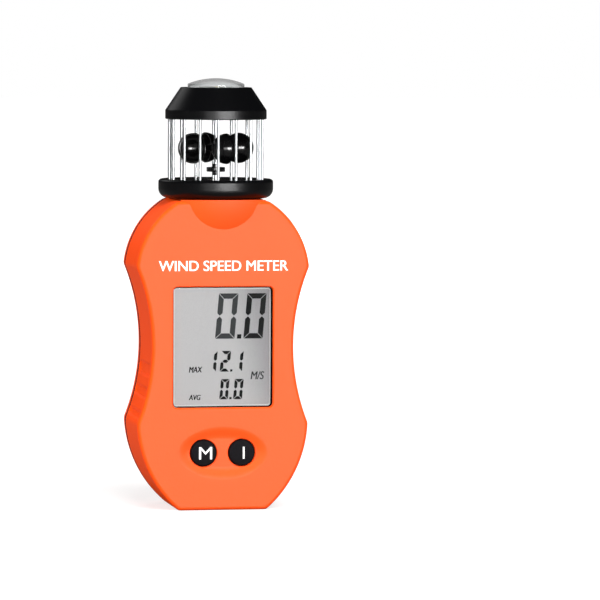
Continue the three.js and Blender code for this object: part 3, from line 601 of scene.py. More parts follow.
@dataclass(frozen=True)
class Moulded:
    """Injection-moulded plastic or rubber: an even body colour that drifts a little where the
    melt flowed, and a fine spark-eroded grain that softens its gloss."""

    name: str
    colour: str
    drift: str
    roughness: float
    spread: float = 0.05
    cloud_mm: float = 16.0
    grain_mm: float = 0.45
    relief: float = 0.08
    ior: float = 1.52
    specular: float = 0.5

    def build(self) -> Material:
        """Returns the material."""
        material, tree, surface, where = blank_material(self.name)
        tone, grain = (
            add_node(tree, "ShaderNodeTexNoise", scale, {"Vector": where}).outputs[0]
            for scale in (
                {"Scale": 1 / (self.cloud_mm * MM), "Detail": 3.0},
                {"Scale": 1 / (self.grain_mm * MM), "Detail": 2.0},
            )
        )
        colours = (self.colour, self.drift)
        gloss = (self.roughness - self.spread, self.roughness + self.spread)
        textured(tree, surface, colours, tone, grain, gloss, self.relief, self.grain_mm)
        surface.inputs["IOR"].default_value = self.ior
        surface.inputs["Specular IOR Level"].default_value = self.specular
        return material


@dataclass(frozen=True)
class Metal:
    """Drawn, turned or plated metal: bright, with fine lines along or round the piece."""

    name: str
    colour: str
    drift: str
    roughness: float
    spread: float = 0.3
    line_mm: float = 0.25
    stretch: tuple = (1.0, 1.0, 0.04)
    relief: float = 0.03

    def build(self) -> Material:
        """Returns the material."""
        material, tree, surface, where = blank_material(self.name)
        along = add_node(tree, "ShaderNodeMapping", {"Scale": self.stretch}, {"Vector": where})
        scale = {"Scale": 1 / (self.line_mm * MM), "Detail": 3.0}
        lines = add_node(tree, "ShaderNodeTexNoise", scale, {"Vector": along.outputs[0]}).outputs[0]
        gloss = ((1 - self.spread) * self.roughness, (1 + self.spread) * self.roughness)
        textured(
            tree, surface, (self.colour, self.drift), lines, lines, gloss, self.relief, self.line_mm
        )
        surface.inputs["Metallic"].default_value = 1.0
        return material


@dataclass(frozen=True)
class Clear:
    """Polished clear plastic: it shows what is behind it and mirrors the studio at its edges."""

    name: str
    tint: str
    sheen: str
    veil: float
    edge: float
    ior: float = 1.49
    haze_mm: float = 5.0
    smoothest: float = 0.03
    roughest: float = 0.09

    def build(self) -> Material:
        """Returns the material."""
        material, tree, surface, where = blank_material(self.name)
        scale = {"Scale": 1 / (self.haze_mm * MM), "Detail": 2.0}
        haze = add_node(tree, "ShaderNodeTexNoise", scale, {"Vector": where})
        ends = {"To Min": self.smoothest, "To Max": self.roughest}
        gloss = add_node(tree, "ShaderNodeMapRange", ends, {"Value": haze.outputs[0]})
        tree.links.new(gloss.outputs[0], surface.inputs["Roughness"])
        surface.inputs["Base Color"].default_value = linear(self.sheen)
        surface.inputs["IOR"].default_value = self.ior
        fresnel = add_node(tree, "ShaderNodeFresnel", {"IOR": self.ior})
        ends = {"To Min": self.veil, "To Max": self.edge}
        share = add_node(tree, "ShaderNodeMapRange", ends, {"Value": fresnel.outputs[0]})
        through = add_node(tree, "ShaderNodeBsdfTransparent", {"Color": linear(self.tint)})
        links = {0: share.outputs[0], 1: through.outputs[0], 2: surface.outputs[0]}
        mixed = add_node(tree, "ShaderNodeMixShader", links=links)
        out = next(n for n in tree.nodes if n.type == "OUTPUT_MATERIAL")
        tree.links.new(mixed.outputs[0], out.inputs["Surface"])
        return material


@dataclass(frozen=True)
class DisplayGlass:
    """The reflective rear of a liquid-crystal panel: even grey, with painted shade that darkens it
    towards the right-hand edge and the top right for the shadow of the window's rim, and a fine
    sparkle."""

    name: str
    colour: str
    painted_shade: str
    painted_shade_from: float
    painted_shade_to: float
    painted_shade_along: tuple = (1.0, 0.0, 0.2)
    sparkle_mm: float = 0.35
    sparkle: float = 0.07
    roughness: float = 0.45

    def build(self) -> Material:
        """Returns the material."""
        material, tree, surface, where = blank_material(self.name)
        # Painted shade: the grey darkens along this slant, towards the right and the top right, for the
        # shadow of the window's rim.
        along = {1: self.painted_shade_along}
        slant = add_node(tree, "ShaderNodeVectorMath", along, {0: where}, operation="DOT_PRODUCT")
        ends = {"From Min": self.painted_shade_from * MM, "From Max": self.painted_shade_to * MM}
        links = {"Value": slant.outputs["Value"]}
        share = add_node(tree, "ShaderNodeMapRange", ends, links, interpolation_type="SMOOTHSTEP")
        ends = {MIX_A: linear(self.colour), MIX_B: linear(self.painted_shade)}
        base = add_node(tree, "ShaderNodeMix", ends, {MIX_SHARE: share.outputs[0]}, data_type="RGBA")
        scale = {"Scale": 1 / (self.sparkle_mm * MM), "Detail": 1.0}
        sparkle = add_node(tree, "ShaderNodeTexNoise", scale, {"Vector": where})
        ends = {"To Min": 1 - self.sparkle, "To Max": 1 + self.sparkle}
        dim = add_node(tree, "ShaderNodeMapRange", ends, {"Value": sparkle.outputs[0]})
        links = {0: base.outputs[MIX_RESULT], 1: dim.outputs[0]}
        lit = add_node(tree, "ShaderNodeVectorMath", links=links, operation="MULTIPLY")
        tree.links.new(lit.outputs[0], surface.inputs["Base Color"])
        surface.inputs["Roughness"].default_value = self.roughness
        return material


@dataclass(frozen=True)
class CircuitLaminate:
    """Glass-fibre board under green solder mask, with lighter copper runs below the mask."""

    name: str = "solder_masked_laminate"
    mask: str = "#1C5A34"
    copper: str = "#2E7A48"
    run_mm: float = 1.6
    run_share: float = 0.08
    roughness: float = 0.35

    def build(self) -> Material:
        """Returns the material."""
        material, tree, surface, where = blank_material(self.name)
        values = {f"Color{number}": linear(self.mask) for number in (1, 2)}
        values |= {"Mortar": linear(self.copper), "Mortar Size": self.run_share}
        values["Scale"] = 1 / (self.run_mm * MM)
        runs = add_node(tree, "ShaderNodeTexBrick", values, {"Vector": where})
        tree.links.new(runs.outputs[0], surface.inputs["Base Color"])
        surface.inputs["Roughness"].default_value = self.roughness
        return material


class Finishes:
    """Every material of the meter, each named for what it is made of."""

    def __init__(self) -> None:
        """Builds the materials."""
        # Saturated plastic with a low sheen: bright face, deep red-orange where light falls off.
        self.orange = Moulded("orange_abs", "#F34C13", "#EE4910", 0.48, specular=0.2).build()
        # Dark, soft-sheened moulding of the collar and the cap.
        self.satin = Moulded(
            "black_satin_abs", "#040405", "#060607", 0.33, relief=0.05, specular=0.28
        ).build()
        # Polished black moulding of the wind cups, with small hard highlights.
        self.gloss = Moulded(
            "polished_black_polycarbonate", "#060607", "#09090A", 0.16, 0.03, relief=0.01, ior=1.58
        ).build()
        # Matt black silicone keys.
        self.key = Moulded(
            "matt_black_silicone", "#0C0B0D", "#110F12", 0.55, ior=1.41, specular=0.06
        ).build()
        # Soft seals with no gloss.
        self.rubber = Moulded("black_nitrile_rubber", "#121213", "#19191A", 0.75, relief=0.15).build()
        # Even black moulding of the inner parts.
        self.inner = Moulded("black_glass_filled_nylon", "#17171A", "#1F1F22", 0.5, relief=0.12).build()
        # Screen ink and card print: flat, opaque and a little uneven.
        self.white_ink, self.red_ink, self.green = (
            Moulded(name, colour, drift, 0.5, cloud_mm=cloud, relief=relief).build()
            for name, colour, drift, cloud, relief in (
                ("white_pad_print", "#F2F2F0", "#E8E8E6", 2, 0.04),
                ("red_pad_print", "#C8201C", "#B51A18", 1, 0.04),
                ("green_printed_card", "#0F5A3C", "#0A4630", 4, 0.03),
            )
        )
        # Switched-on liquid crystal: the units digit and its unit are fainter than the rest.
        self.segment, self.pale_segment = (
            Moulded(name, colour, drift, 0.5, cloud_mm=3, relief=0.0, specular=0.1).build()
            for name, colour, drift in (
                ("lit_liquid_crystal", "#08090A", "#0C0D0E"),
                ("part_lit_liquid_crystal", "#3E4042", "#484A4B"),
            )
        )
        # Bright drawn wire of the guard and the shaft, with lines along it.
        self.steel = Metal("drawn_stainless_steel", "#D2D4D6", "#BCBFC2", 0.38).build()
        # Zinc-plated screws and turned brass bearings have an even, lightly clouded face.
        even = (1, 1, 1)
        self.screw = Metal("zinc_plated_steel", "#B9BCBE", "#A3A6A9", 0.28, stretch=even).build()
        self.brass = Metal("turned_brass", "#D9B45E", "#C39A45", 0.22, stretch=even).build()
        # The coin cell's can is brushed across.
        across = (0.05, 1, 1)
        self.cell = Metal("brushed_stainless_can", "#C9CBCD", "#B9BBBD", 0.22, stretch=across).build()
        # Clear mouldings over the display and the compass.
        self.window = Clear("polished_acrylic_window", "#F6F6F6", "#1C1E1E", 0.0, 1.0).build()
        self.capsule = Clear(
            "polished_clear_styrene", "#EDEFEF", "#C4C4C4", 0.08, 1.5, ior=1.55
        ).build()
        # The display's grey, with painted shade towards its right-hand edge and top right.
        self.panel = DisplayGlass(
            "liquid_crystal_reflector", "#DAD9D9", "#9D9C9E", 9.0, 25.0
        ).build()
        self.board = CircuitLaminate().build()


def mount(
    piece: Piece,
    body: Body,
    slot: str | None,
    finish: Material | None,
    *nodes: str,
) -> None:
    """Gives a finished piece its material and body, and hides the CAD nodes that it stands for.

    Args:
        piece: The piece.
        body: The body that it rides on.
        slot: The record's material slot, or None for ink that has none; not used.
        finish: Its material, or None if it has one already.
        nodes: The CAD nodes that it replaces.
    """
    if finish is not None:
        piece.data.materials.clear()
        piece.data.materials.append(finish)
        piece.data.polygons.foreach_set("material_index", [0] * len(piece.data.polygons))
    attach(piece, body.value)
    if nodes:
        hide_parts(*nodes)
    LOG.info("%s rides on %s, %d faces", piece.name, body.value, len(piece.data.polygons))


# ---- Sub-assemblies ----


@dataclass
class Outline:
    """The housing seen from the front: a foot arc, a waist arc and a round head lobe."""

    base_half: float = 12.0
    foot_bulge: float = 2.76
    hip_half: float = 23.45
    hip_z: float = 23.2
    waist_half: float = 19.45
    lobe_radius: float = 23.8
    lobe_z: float = 62.4
    shoulder_rise: float = 2.4
    neck_rise: float = 20.3
    spacing: float = 0.3
    corner_softness: float = 0.6
    arc_steps: int = 60
    waist_steps: int = 90
    samples: int = 8

    @staticmethod
    def arc(start: Vector, end: Vector, bulge: float, steps: int) -> list:
        """Lists points of an arc that bows to the right of the way from start to end.

        Args:
            start: The first point.
            end: The last point.
            bulge: How far the arc bows out, or in if it is negative.
            steps: Chords along the arc.

        Returns:
            The points as vectors.
        """
        chord = end - start
        radius = (chord.length_squared / 4 + bulge * bulge) / (2 * abs(bulge))
        side = Vector((chord.y, -chord.x)).normalized()
        sign = math.copysign(1, bulge)
        centre = (start + end) / 2 + side * (bulge - sign * radius)
        first = math.atan2(start.y - centre.y, start.x - centre.x)
        sweep = 2 * math.asin(chord.length / 2 / radius) * sign
        angles = [first + sweep * step / steps for step in range(steps + 1)]
        return [centre + radius * Vector((math.cos(a), math.sin(a))) for a in angles]

    def sharp(self) -> list:
        """Returns the closed outline with its corners sharp, counterclockwise from the base."""
        foot, hip = Vector((self.base_half, 0)), Vector((self.hip_half, self.hip_z))
        shoulder_half = math.sqrt(self.lobe_radius**2 - self.shoulder_rise**2)
        shoulder = Vector((shoulder_half, self.lobe_z + self.shoulder_rise))
        waist_bulge = self.waist_half - (self.hip_half + shoulder_half) / 2
        right = self.arc(foot, hip, self.foot_bulge, self.arc_steps)[:-1]
        right += self.arc(hip, shoulder, waist_bulge, self.waist_steps)
        low = math.asin(self.shoulder_rise / self.lobe_radius)
        high = math.asin(self.neck_rise / self.lobe_radius)
        for step in range(1, self.arc_steps + 1):
            angle = low + (high - low) * step / self.arc_steps
            lobe = Vector((math.cos(angle), math.sin(angle))) * self.lobe_radius
            right.append(lobe + Vector((0, self.lobe_z)))
        left = [Vector((-p.x, p.y)) for p in reversed(right)]
        return [Vector((0, 0)), *right, Vector((0, right[-1].y)), *left]

    def even(self, softness: float, spacing: float) -> tuple[np.ndarray, np.ndarray]:
        """Samples the outline evenly, with its corners softened.

        Args:
            softness: Half the length over which each corner is rounded, in millimetres.
            spacing: The distance between points, in millimetres.

        Returns:
            The points, and the inward normal at each.
        """
        corners = np.array([tuple(p) for p in self.sharp()])
        ring = np.vstack([corners, corners[:1]])
        run = np.concatenate([[0], np.cumsum(np.linalg.norm(np.diff(ring, axis=0), axis=1))])
        count = int(run[-1] / spacing) * self.samples
        at = np.arange(count) * run[-1] / count
        points = np.stack([np.interp(at, run, ring[:, k]) for k in (0, 1)], axis=1)
        width = max(1, int(softness / (run[-1] / count)))
        for _ in range(2):
            wrapped = np.vstack([points[-width:], points, points[:width]])
            total = np.vstack([np.zeros((1, 2)), np.cumsum(wrapped, axis=0)])
            points = (total[2 * width + 1 :] - total[: -2 * width - 1]) / (2 * width + 1)
        ahead = np.roll(points, -1, axis=0) - np.roll(points, 1, axis=0)
        ahead /= np.linalg.norm(ahead, axis=1, keepdims=True)
        inward = np.stack([-ahead[:, 1], ahead[:, 0]], axis=1)
        return points[:: self.samples], inward[:: self.samples]


@dataclass
class Housing:
    """The two orange shells with the seal between them, and the words on the front."""

    front: float = -13.3
    back: float = 12.9
    parting: float = 6.6
    gasket: float = 0.4
    wall: float = 1.8
    sharp_deg: float = 19
    front_round: float = 1.0
    front_draft: float = 0.4
    back_round: float = 1.4
    back_draft: float = 0.35
    round_steps: int = 8
    inner_softness: float = 3.0
    inner_spacing: float = 1.5
    boss_half: float = 9.5
    boss_proud: float = 1.8
    boss_lift: float = 1.7
    boss_steps: int = 24
    grip_depth: float = 0.45
    grip_edge: float = 0.9
    grip_corner: float = 0.45
    grip_low: float = -11.9
    grip_high: float = 5.6
    grip_from: float = 15.0
    grip_blend: float = 2.0
    grips: tuple = ((37.4, 4.1), (31.4, 3.6), (25.6, 2.8))
    # The seam is widened so that the flush black seal also shows as painted shade along the parting.
    seam_gap: float = 1.4
    seam_lip: float = 0.15
    seal_inset: float = 0.02
    seal_reach: float = 1.4
    window_width: float = 26.9
    window_height: float = 32.2
    window_z: float = 43.5
    window_corner: float = 1.2
    window_lip: float = 0.3
    dish_width: float = 24.0
    dish_height: float = 14.0
    dish_depth: float = 0.8
    dish_slope: float = 3.4
    dish_rim: float = 0.3
    dish_steps: int = 12
    key_hole: float = 3.65
    key_spread: float = 5.14
    key_z: float = 15.3
    key_lip: float = 0.2
    front_post: float = 2.6
    rear_post: float = 3.15
    pilot: float = 1.0
    pilot_depth: float = 7.0
    shank: float = 1.1
    screw_hole: float = 2.25
    screw_depth: float = 3.7
    screw_lip: float = 0.3
    cover_hole: float = 12.75
    cover_bore: float = 11.4
    cover_lip: float = 0.25
    cover_z: float = 44.0
    sharp_lip: float = 0.01
    step: float = 0.5
    words: str = "WIND SPEED METER"
    words_size: tuple = (34.8, 2.75)
    words_z: float = 65.25
    words_bold: float = 0.1
    shape: Outline = None

    def __post_init__(self) -> None:
        """Samples the outline once, finely outside and softly inside."""
        self.shape = self.shape or Outline()
        self.outer = self.shape.even(self.shape.corner_softness, self.shape.spacing)
        self.inner = self.shape.even(self.inner_softness, self.inner_spacing)

    @property
    def neck_z(self) -> float:
        """Returns the height of the flat top."""
        return self.shape.lobe_z + self.shape.neck_rise

    def grip(self, y: float, z: np.ndarray) -> np.ndarray:
        """Works out how deep the finger grips are.

        Args:
            y: The depth on the side.
            z: The heights on the side.

        Returns:
            How far the side is sunk at each height.
        """
        depth = np.zeros_like(z)
        middle, half = (self.grip_low + self.grip_high) / 2, (self.grip_high - self.grip_low) / 2
        for centre, length in self.grips:
            corner = self.grip_corner * length
            across = np.maximum(np.abs(z - centre) - length / 2 + corner, 0)
            along = max(abs(y - middle) - half + corner, 0)
            share = np.clip((corner - np.hypot(across, along)) / self.grip_edge, 0, 1)
            depth = np.maximum(depth, self.grip_depth * share * share * (3 - 2 * share))
        return depth

    def ring(self, y: float, draft: float, inset: float, gripped: bool = True) -> list:
        """Makes one ring of the outside. The draft leaves the base level, so the meter stands flat.

        Args:
            y: The ring's depth.
            draft: How far it is moved in by the draft.
            inset: How much further in it lies.
            gripped: Whether the finger grips are sunk in it.

        Returns:
            (x, y, z) of each point.
        """
        points, inward = self.outer
        side = np.clip((np.abs(points[:, 0]) - self.grip_from) / self.grip_blend, 0, 1)
        sunk = self.grip(y, points[:, 1]) * side if gripped else 0 * side
        moved = points + inward * (draft + inset + sunk)[:, None]
        level = draft * np.maximum(0, 1 - points[:, 1] / self.shape.hip_z)
        return [(x, y, max(0.0, z - drop)) for (x, z), drop in zip(moved, level)]

    def side_rings(self, face: float, size: float, draft: float, seam: float) -> list:
        """Returns the rings of a shell's outside, from its rounded face to its lip at the seam.

        Args:
            face: The depth of the flat face.
            size: How far the face is rounded.
            draft: How far the side leans in at the face.
            seam: The depth of the shell's open edge.

        Returns:
            The rings, from the face to the edge.
        """
        towards = math.copysign(1, seam - face)
        rings = []
        for step in range(self.round_steps + 1):
            angle = math.pi / 2 * step / self.round_steps
            y = face + towards * size * (1 - math.cos(angle))
            rings.append(self.ring(y, draft, size * (1 - math.sin(angle)), False))
        start = face + towards * size
        count = max(2, int(abs(seam - start) / self.step))
        for step in range(1, count):
            share = step / count
            rings.append(self.ring(start + (seam - start) * share, draft - draft * share, 0))
        lip = -towards * self.seam_lip
        for back, inset in ((1, 0), (0.3, 0.3), (0, 1)):
            rings.append(self.ring(seam + back * lip, 0, inset * self.seam_lip))
        return rings

    def hollow(self, start: float, end: float, draft: float) -> Piece:
        """Makes the room inside a shell."""
        points, inward = self.inner
        return plate("room", points + inward * (self.wall + draft), (start, end))

    def boss(self) -> Piece:
        """Makes the low dome under the collar, cut level at the neck."""
        radius = (self.boss_half**2 + self.boss_proud**2) / (2 * self.boss_proud)
        middle = self.front - self.boss_proud + radius
        root = self.front + self.wall / 2
        reach = math.acos((middle - root) / radius)
        angles = [reach * step / self.boss_steps for step in range(self.boss_steps + 1)]
        profile = [(radius * math.sin(a), middle - radius * math.cos(a)) for a in angles]
        dome = lathe("boss", [*profile, (0, root)], (0, 0, self.neck_z + self.boss_lift), Axis.Y, 128)
        return combine(dome, block("keep", (-30, -30, 50), (30, 10, self.neck_z)), Join.KEEP)

    def oval(self, grow: float) -> list:
        """Returns the (x, z) points of the key dish's oval, grown by a margin."""
        a, b = self.dish_width / 2 + grow, self.dish_height / 2 + grow
        angles = [2 * math.pi * step / 96 for step in range(96)]
        return [(a * math.cos(t), self.key_z + b * math.sin(t)) for t in angles]

    def dish(self) -> Piece:
        """Makes the cutter for the shallow key dish, which eases in at its rim and its floor."""
        layers = [(self.front - 1, self.dish_rim), (self.front - 0.01, self.dish_rim)]
        for step in range(1, self.dish_steps + 1):
            share = step / self.dish_steps
            ease = share * share * (3 - 2 * share)
            margin = self.dish_rim - (self.dish_slope + self.dish_rim) * share
            layers.append((self.front + self.dish_depth * ease, margin))
        return flared_hole("dish", self.oval, layers)

    def round_hole(
        self, x: float, z: float, radius: float, face: float, inside: float, lip: float
    ) -> Piece:
        """Makes a round cutter along Y, with a round lip at a face.

        Args:
            x: The hole's place across.
            z: The hole's height.
            radius: The hole's radius.
            face: The face that it starts from.
            inside: Where it ends.
            lip: The size of its lip.

        Returns:
            The cutter.
        """
        outside = face + math.copysign(1.0, face - inside)
        sign = math.copysign(1.0, inside - face)
        layers = lip_layers(sign * outside, sign * face, sign * inside, lip)
        profile = [(radius + margin, sign * y) for y, margin in layers]
        return lathe("hole", [(0, outside), *profile, (0, inside)], (x, 0, z), Axis.Y, 64)

    def window(self) -> Piece:
        """Makes the cutter for the display opening, with a round lip."""

        def outline(margin: float) -> list:
            """Returns the opening's (x, z) points, grown by a margin."""
            width, height = self.window_width + 2 * margin, self.window_height + 2 * margin
            corners = rounded_rectangle(width, height, self.window_corner + margin)
            return [(x, self.window_z + z) for x, z in corners]

        layers = lip_layers(self.front - 1, self.front, self.front + 2 * self.wall, self.window_lip)
        return flared_hole("window", outline, layers)

    def shell(
        self, name: str, face: float, size: float, draft: float, seam: float, room: float
    ) -> Piece:
        """Makes one shell with its room, before anything is cut in it.

        Args:
            name: The shell's name.
            face: The depth of its flat face.
            size: How far the face is rounded.
            draft: How far the side leans in at the face.
            seam: The depth of its open edge.
            room: The depth that its room reaches to, past the edge.

        Returns:
            The shell.
        """
        shell = loft(name, self.side_rings(face, size, draft, seam))
        if face == self.front:
            combine(shell, self.boss(), Join.ADD)
        inside = face + math.copysign(self.wall, seam - face)
        return combine(shell, self.hollow(min(inside, room), max(inside, room), draft), Join.CUT)

    def screw_posts(
        self, shell: Piece, radius: float, root: float, tip: float, *holes: tuple
    ) -> None:
        """Adds a post for each housing screw to a shell, and cuts its holes.

        Args:
            shell: The shell.
            radius: The post's radius.
            root: Where the post starts.
            tip: Where it ends.
            holes: (radius, face, inside, lip) of each hole.
        """
        for number in range(1, 5):
            x, _, z = centre_mm(f"housing_screw_{number}")
            post = [corner[:2] for corner in section(0, radius, root, tip)]
            combine(shell, lathe("post", post, (x, 0, z), Axis.Y, 40), Join.ADD)
            for hole in holes:
                combine(shell, self.round_hole(x, z, *hole), Join.CUT)

    def build(self, finishes: Finishes) -> None:
        """Makes both shells, their seal and the lettering."""
        gap, end = self.seam_gap / 2, self.parting - self.gasket / 2
        shell = self.shell(
            "shell_front", self.front, self.front_round, self.front_draft, self.parting - gap,
            self.parting + self.wall,
        )
        pilot = (self.pilot, end, end - self.pilot_depth, self.screw_lip)
        self.screw_posts(shell, self.front_post, self.front + 1, end, pilot)
        combine(shell, self.dish(), Join.CUT)
        combine(shell, self.window(), Join.CUT)
        floor = self.front + self.dish_depth
        for x in (-self.key_spread, self.key_spread):
            hole = self.round_hole(x, self.key_z, self.key_hole, floor, floor + 2, self.key_lip)
            combine(shell, hole, Join.CUT)
        shell = smooth(shell, self.sharp_deg)
        mount(shell, Body.HOUSING, "orange_abs", finishes.orange, "front_shell")

        start, inside = self.parting + self.gasket / 2, self.back - self.wall
        shell = self.shell(
            "shell_rear", self.back, self.back_round, self.back_draft, self.parting + gap,
            self.parting - self.wall,
        )
        recess = (self.screw_hole, self.back, self.back - self.screw_depth, self.screw_lip)
        shank = (self.shank, self.back - self.screw_depth + 0.1, start - 1, self.sharp_lip)
        self.screw_posts(shell, self.rear_post, start, inside + 1, recess, shank)
        seat = box_mm("battery_cover_seal")[0].y - 0.05
        for hole in (
            (self.cover_hole, self.back, seat, self.cover_lip),
            (self.cover_bore, seat + 0.5, inside - 1, self.sharp_lip),
        ):
            combine(shell, self.round_hole(0, self.cover_z, *hole), Join.CUT)
        shell = smooth(shell, self.sharp_deg)
        mount(shell, Body.HOUSING, "orange_abs", finishes.orange, "rear_shell")

        # The seal's black band lies flush with the outside across the widened seam. It is a real seal,
        # and also painted shade for the groove between the shells.
        band = []
        for inset, reach in ((self.seal_inset, 0), (self.seal_inset + self.seal_reach, 1)):
            half = self.seam_gap / 2 + self.seam_lip + reach
            ends = (self.parting - half, self.parting + half)
            band.append(loft("shell_seal", [self.ring(y, 0, inset, False) for y in ends]))
        seal = combine(*band, Join.CUT)
        mount(smooth(seal), Body.HOUSING, "rubber", finishes.rubber, "shell_gasket")

        place = on_front(0, self.front - 0.005, self.words_z)
        words = lettering(self.words, self.words_size, place, bold=self.words_bold)
        words.name = "front_lettering"
        mount(words, Body.HOUSING, None, finishes.white_ink)


class Segment(Enum):
    """Bars of a seven-bar digit, as (x, z) of their ends on a digit one wide and two high."""

    TOP = ((0, 2), (1, 2))
    UPPER_RIGHT = ((1, 2), (1, 1))
    LOWER_RIGHT = ((1, 1), (1, 0))
    BOTTOM = ((0, 0), (1, 0))
    LOWER_LEFT = ((0, 0), (0, 1))
    UPPER_LEFT = ((0, 1), (0, 2))
    MIDDLE = ((0, 1), (1, 1))


DIGITS = {
    "0": tuple(bar for bar in Segment if bar is not Segment.MIDDLE),
    "1": (Segment.UPPER_RIGHT, Segment.LOWER_RIGHT),
    "2": (Segment.TOP, Segment.UPPER_RIGHT, Segment.MIDDLE, Segment.LOWER_LEFT, Segment.BOTTOM),
}


@dataclass(frozen=True)
class Reading:
    """What one shade of the display shows: digits as (value, x, z, width, height, stroke),
    decimal points as (x, z, size) and words as (text, x, z, width, height)."""

    digits: tuple
    points: tuple
    words: tuple


@dataclass
class Display:
    """The liquid-crystal panel behind its window, with its lit bars and small words."""

    lean: float = 0.088
    word_lean: float = 0.2
    word_bold: float = 0.12
    gap: float = 0.1
    ink_y: float = -11.45
    thick: float = 0.05
    pane_lip: float = 0.25
    pane_corner: float = 1.1
    lip_steps: int = 4
    outline_insets: tuple = (0.0, 0.22)
    # Insets of the white band round the display, a painted highlight for the bright edge of the window.
    painted_highlight_insets: tuple = (0.24, 0.62)
    pale: Reading = Reading(
        digits=(("0", -1.95, 45.7, 5.25, 12.07, 1.42),),
        points=(),
        words=(("M/S", 7.69, 34.77, 3.7, 2.13),),
    )
    dark: Reading = Reading(
        digits=(
            ("0", 5.7, 45.7, 5.2, 12.07, 1.42),
            ("1", -4.3, 36.9, 2.6, 5.54, 0.85),
            ("2", -0.68, 36.9, 2.6, 5.54, 0.85),
            ("1", 2.75, 36.9, 2.6, 5.54, 0.85),
            ("0", -0.75, 29.5, 2.3, 5.41, 0.82),
            ("0", 2.98, 29.5, 2.4, 5.41, 0.82),
        ),
        points=((3.95, 45.7, 1.15), (2.15, 36.9, 0.6), (1.95, 29.5, 0.6)),
        words=(("MAX", -8.98, 36.74, 3.65, 1.54), ("AVG", -8.98, 29.38, 3.24, 1.4)),
    )

    @property
    def ink(self) -> tuple:
        """Returns the depths between which the ink lies."""
        return (self.ink_y, self.ink_y + self.thick)

    def bar(
        self, bar: Segment, x: float, z: float, width: float, height: float, stroke: float
    ) -> Piece:
        """Makes one lit bar with pointed ends.

        Args:
            bar: Which bar of the digit.
            x: The digit's left edge at its foot.
            z: The digit's foot.
            width: The digit's width over its strokes, upright.
            height: The digit's height over its strokes.
            stroke: The bar's thickness.

        Returns:
            The bar as a thin plate.
        """
        size = Vector((width - stroke, (height - stroke) / 2))
        half = stroke / 2
        ends = [Vector((e[0] * size.x, e[1] * size.y)) for e in bar.value]
        along = (ends[1] - ends[0]).normalized()
        across = Vector((-along.y, along.x))
        middle = (ends[0] + ends[1]) / 2 - Vector((size.x / 2, size.y))
        outer = 0 if middle.length < self.gap else math.copysign(1, across.dot(middle))
        outline = []
        for end, inward, sides in ((ends[0], along, (1, 0, -1)), (ends[1], -along, (-1, 0, 1))):
            mitred = outer and 0 < abs(end.y - size.y)
            for side in sides:
                if mitred and not side:
                    continue
                back = -side * outer * half if mitred else abs(side) * half
                outline.append(end + inward * (self.gap + back) + across * side * half)
        corner = Vector((x + stroke / 2, z + stroke / 2))
        upright = [p + corner for p in outline]
        return plate("bar", [(p.x + (p.y - z) * self.lean, p.y) for p in upright], self.ink)

    def point(self, x: float, z: float, size: float) -> Piece:
        """Makes a square decimal point with its lower left corner at x, z."""
        corners = [(0, 0), (size, 0), (size + size * self.lean, size), (size * self.lean, size)]
        return plate("point", [(x + px, z + pz) for px, pz in corners], self.ink)

    def word(self, text: str, x: float, z: float, width: float, height: float) -> Piece:
        """Makes a small word with its lower left corner at x, z."""
        place = on_front(x + width / 2, self.ink_y + self.thick / 2, z + height / 2)
        return lettering(text, (width, height), place, self.thick, self.word_bold, self.word_lean)

    def show(self, name: str, reading: Reading, finish: Material) -> None:
        """Makes everything that one shade of the display shows.

        Args:
            name: The piece's name.
            reading: What is shown.
            finish: The shade.
        """
        lit = [self.bar(bar, *place) for value, *place in reading.digits for bar in DIGITS[value]]
        lit += [self.point(*place) for place in reading.points]
        lit += [self.word(*place) for place in reading.words]
        mount(joined(name, lit), Body.HOUSING, None, finish)

    def build(self, finishes: Finishes) -> None:
        """Makes the window and everything lit behind it."""
        self.show("lcd_main_units", self.pale, finishes.pale_segment)
        self.show("lcd_readings", self.dark, finishes.segment)

        low, high = box_mm("lcd_window")
        width, height, middle = high.x - low.x, high.z - low.z, centre_mm("lcd_window")[2]

        def frame_at(inset: float, corner: float) -> list:
            """Returns the window's (x, z) outline, drawn in by an inset."""
            corners = rounded_rectangle(width - 2 * inset, height - 2 * inset, corner)
            return [(x, middle + z) for x, z in corners]

        angles = [math.pi / 2 * step / self.lip_steps for step in range(self.lip_steps + 1)]
        layers = [(low.y + self.pane_lip * (1 - math.cos(a)), a) for a in angles]
        layers += [(high.y - self.pane_lip * (1 - math.cos(a)), a) for a in reversed(angles)]
        rings = []
        for y, angle in layers:
            inset = self.pane_lip * (1 - math.sin(angle))
            outline = frame_at(inset, self.pane_corner - 0.9 * inset)
            rings.append([(x, y, z) for x, z in outline])
        pane = smooth(loft("window_pane", rings))
        mount(pane, Body.HOUSING, "clear_acrylic", finishes.window, "lcd_window")

        # A dark band runs round the display's edge. The white band inside it is a painted highlight for
        # the bright edge of the window, in the words' white ink.
        for name, insets, finish in (
            ("window_outline", self.outline_insets, finishes.segment),
            ("window_border", self.painted_highlight_insets, finishes.white_ink),
        ):
            plates = []
            for inset, reach in zip(insets, (0, 1)):
                outline = frame_at(inset, max(0.3, self.pane_corner - inset))
                plates.append(plate(name, outline, (self.ink[0] - reach, self.ink[1] + reach)))
            mount(combine(*plates, Join.CUT), Body.HOUSING, None, finish)


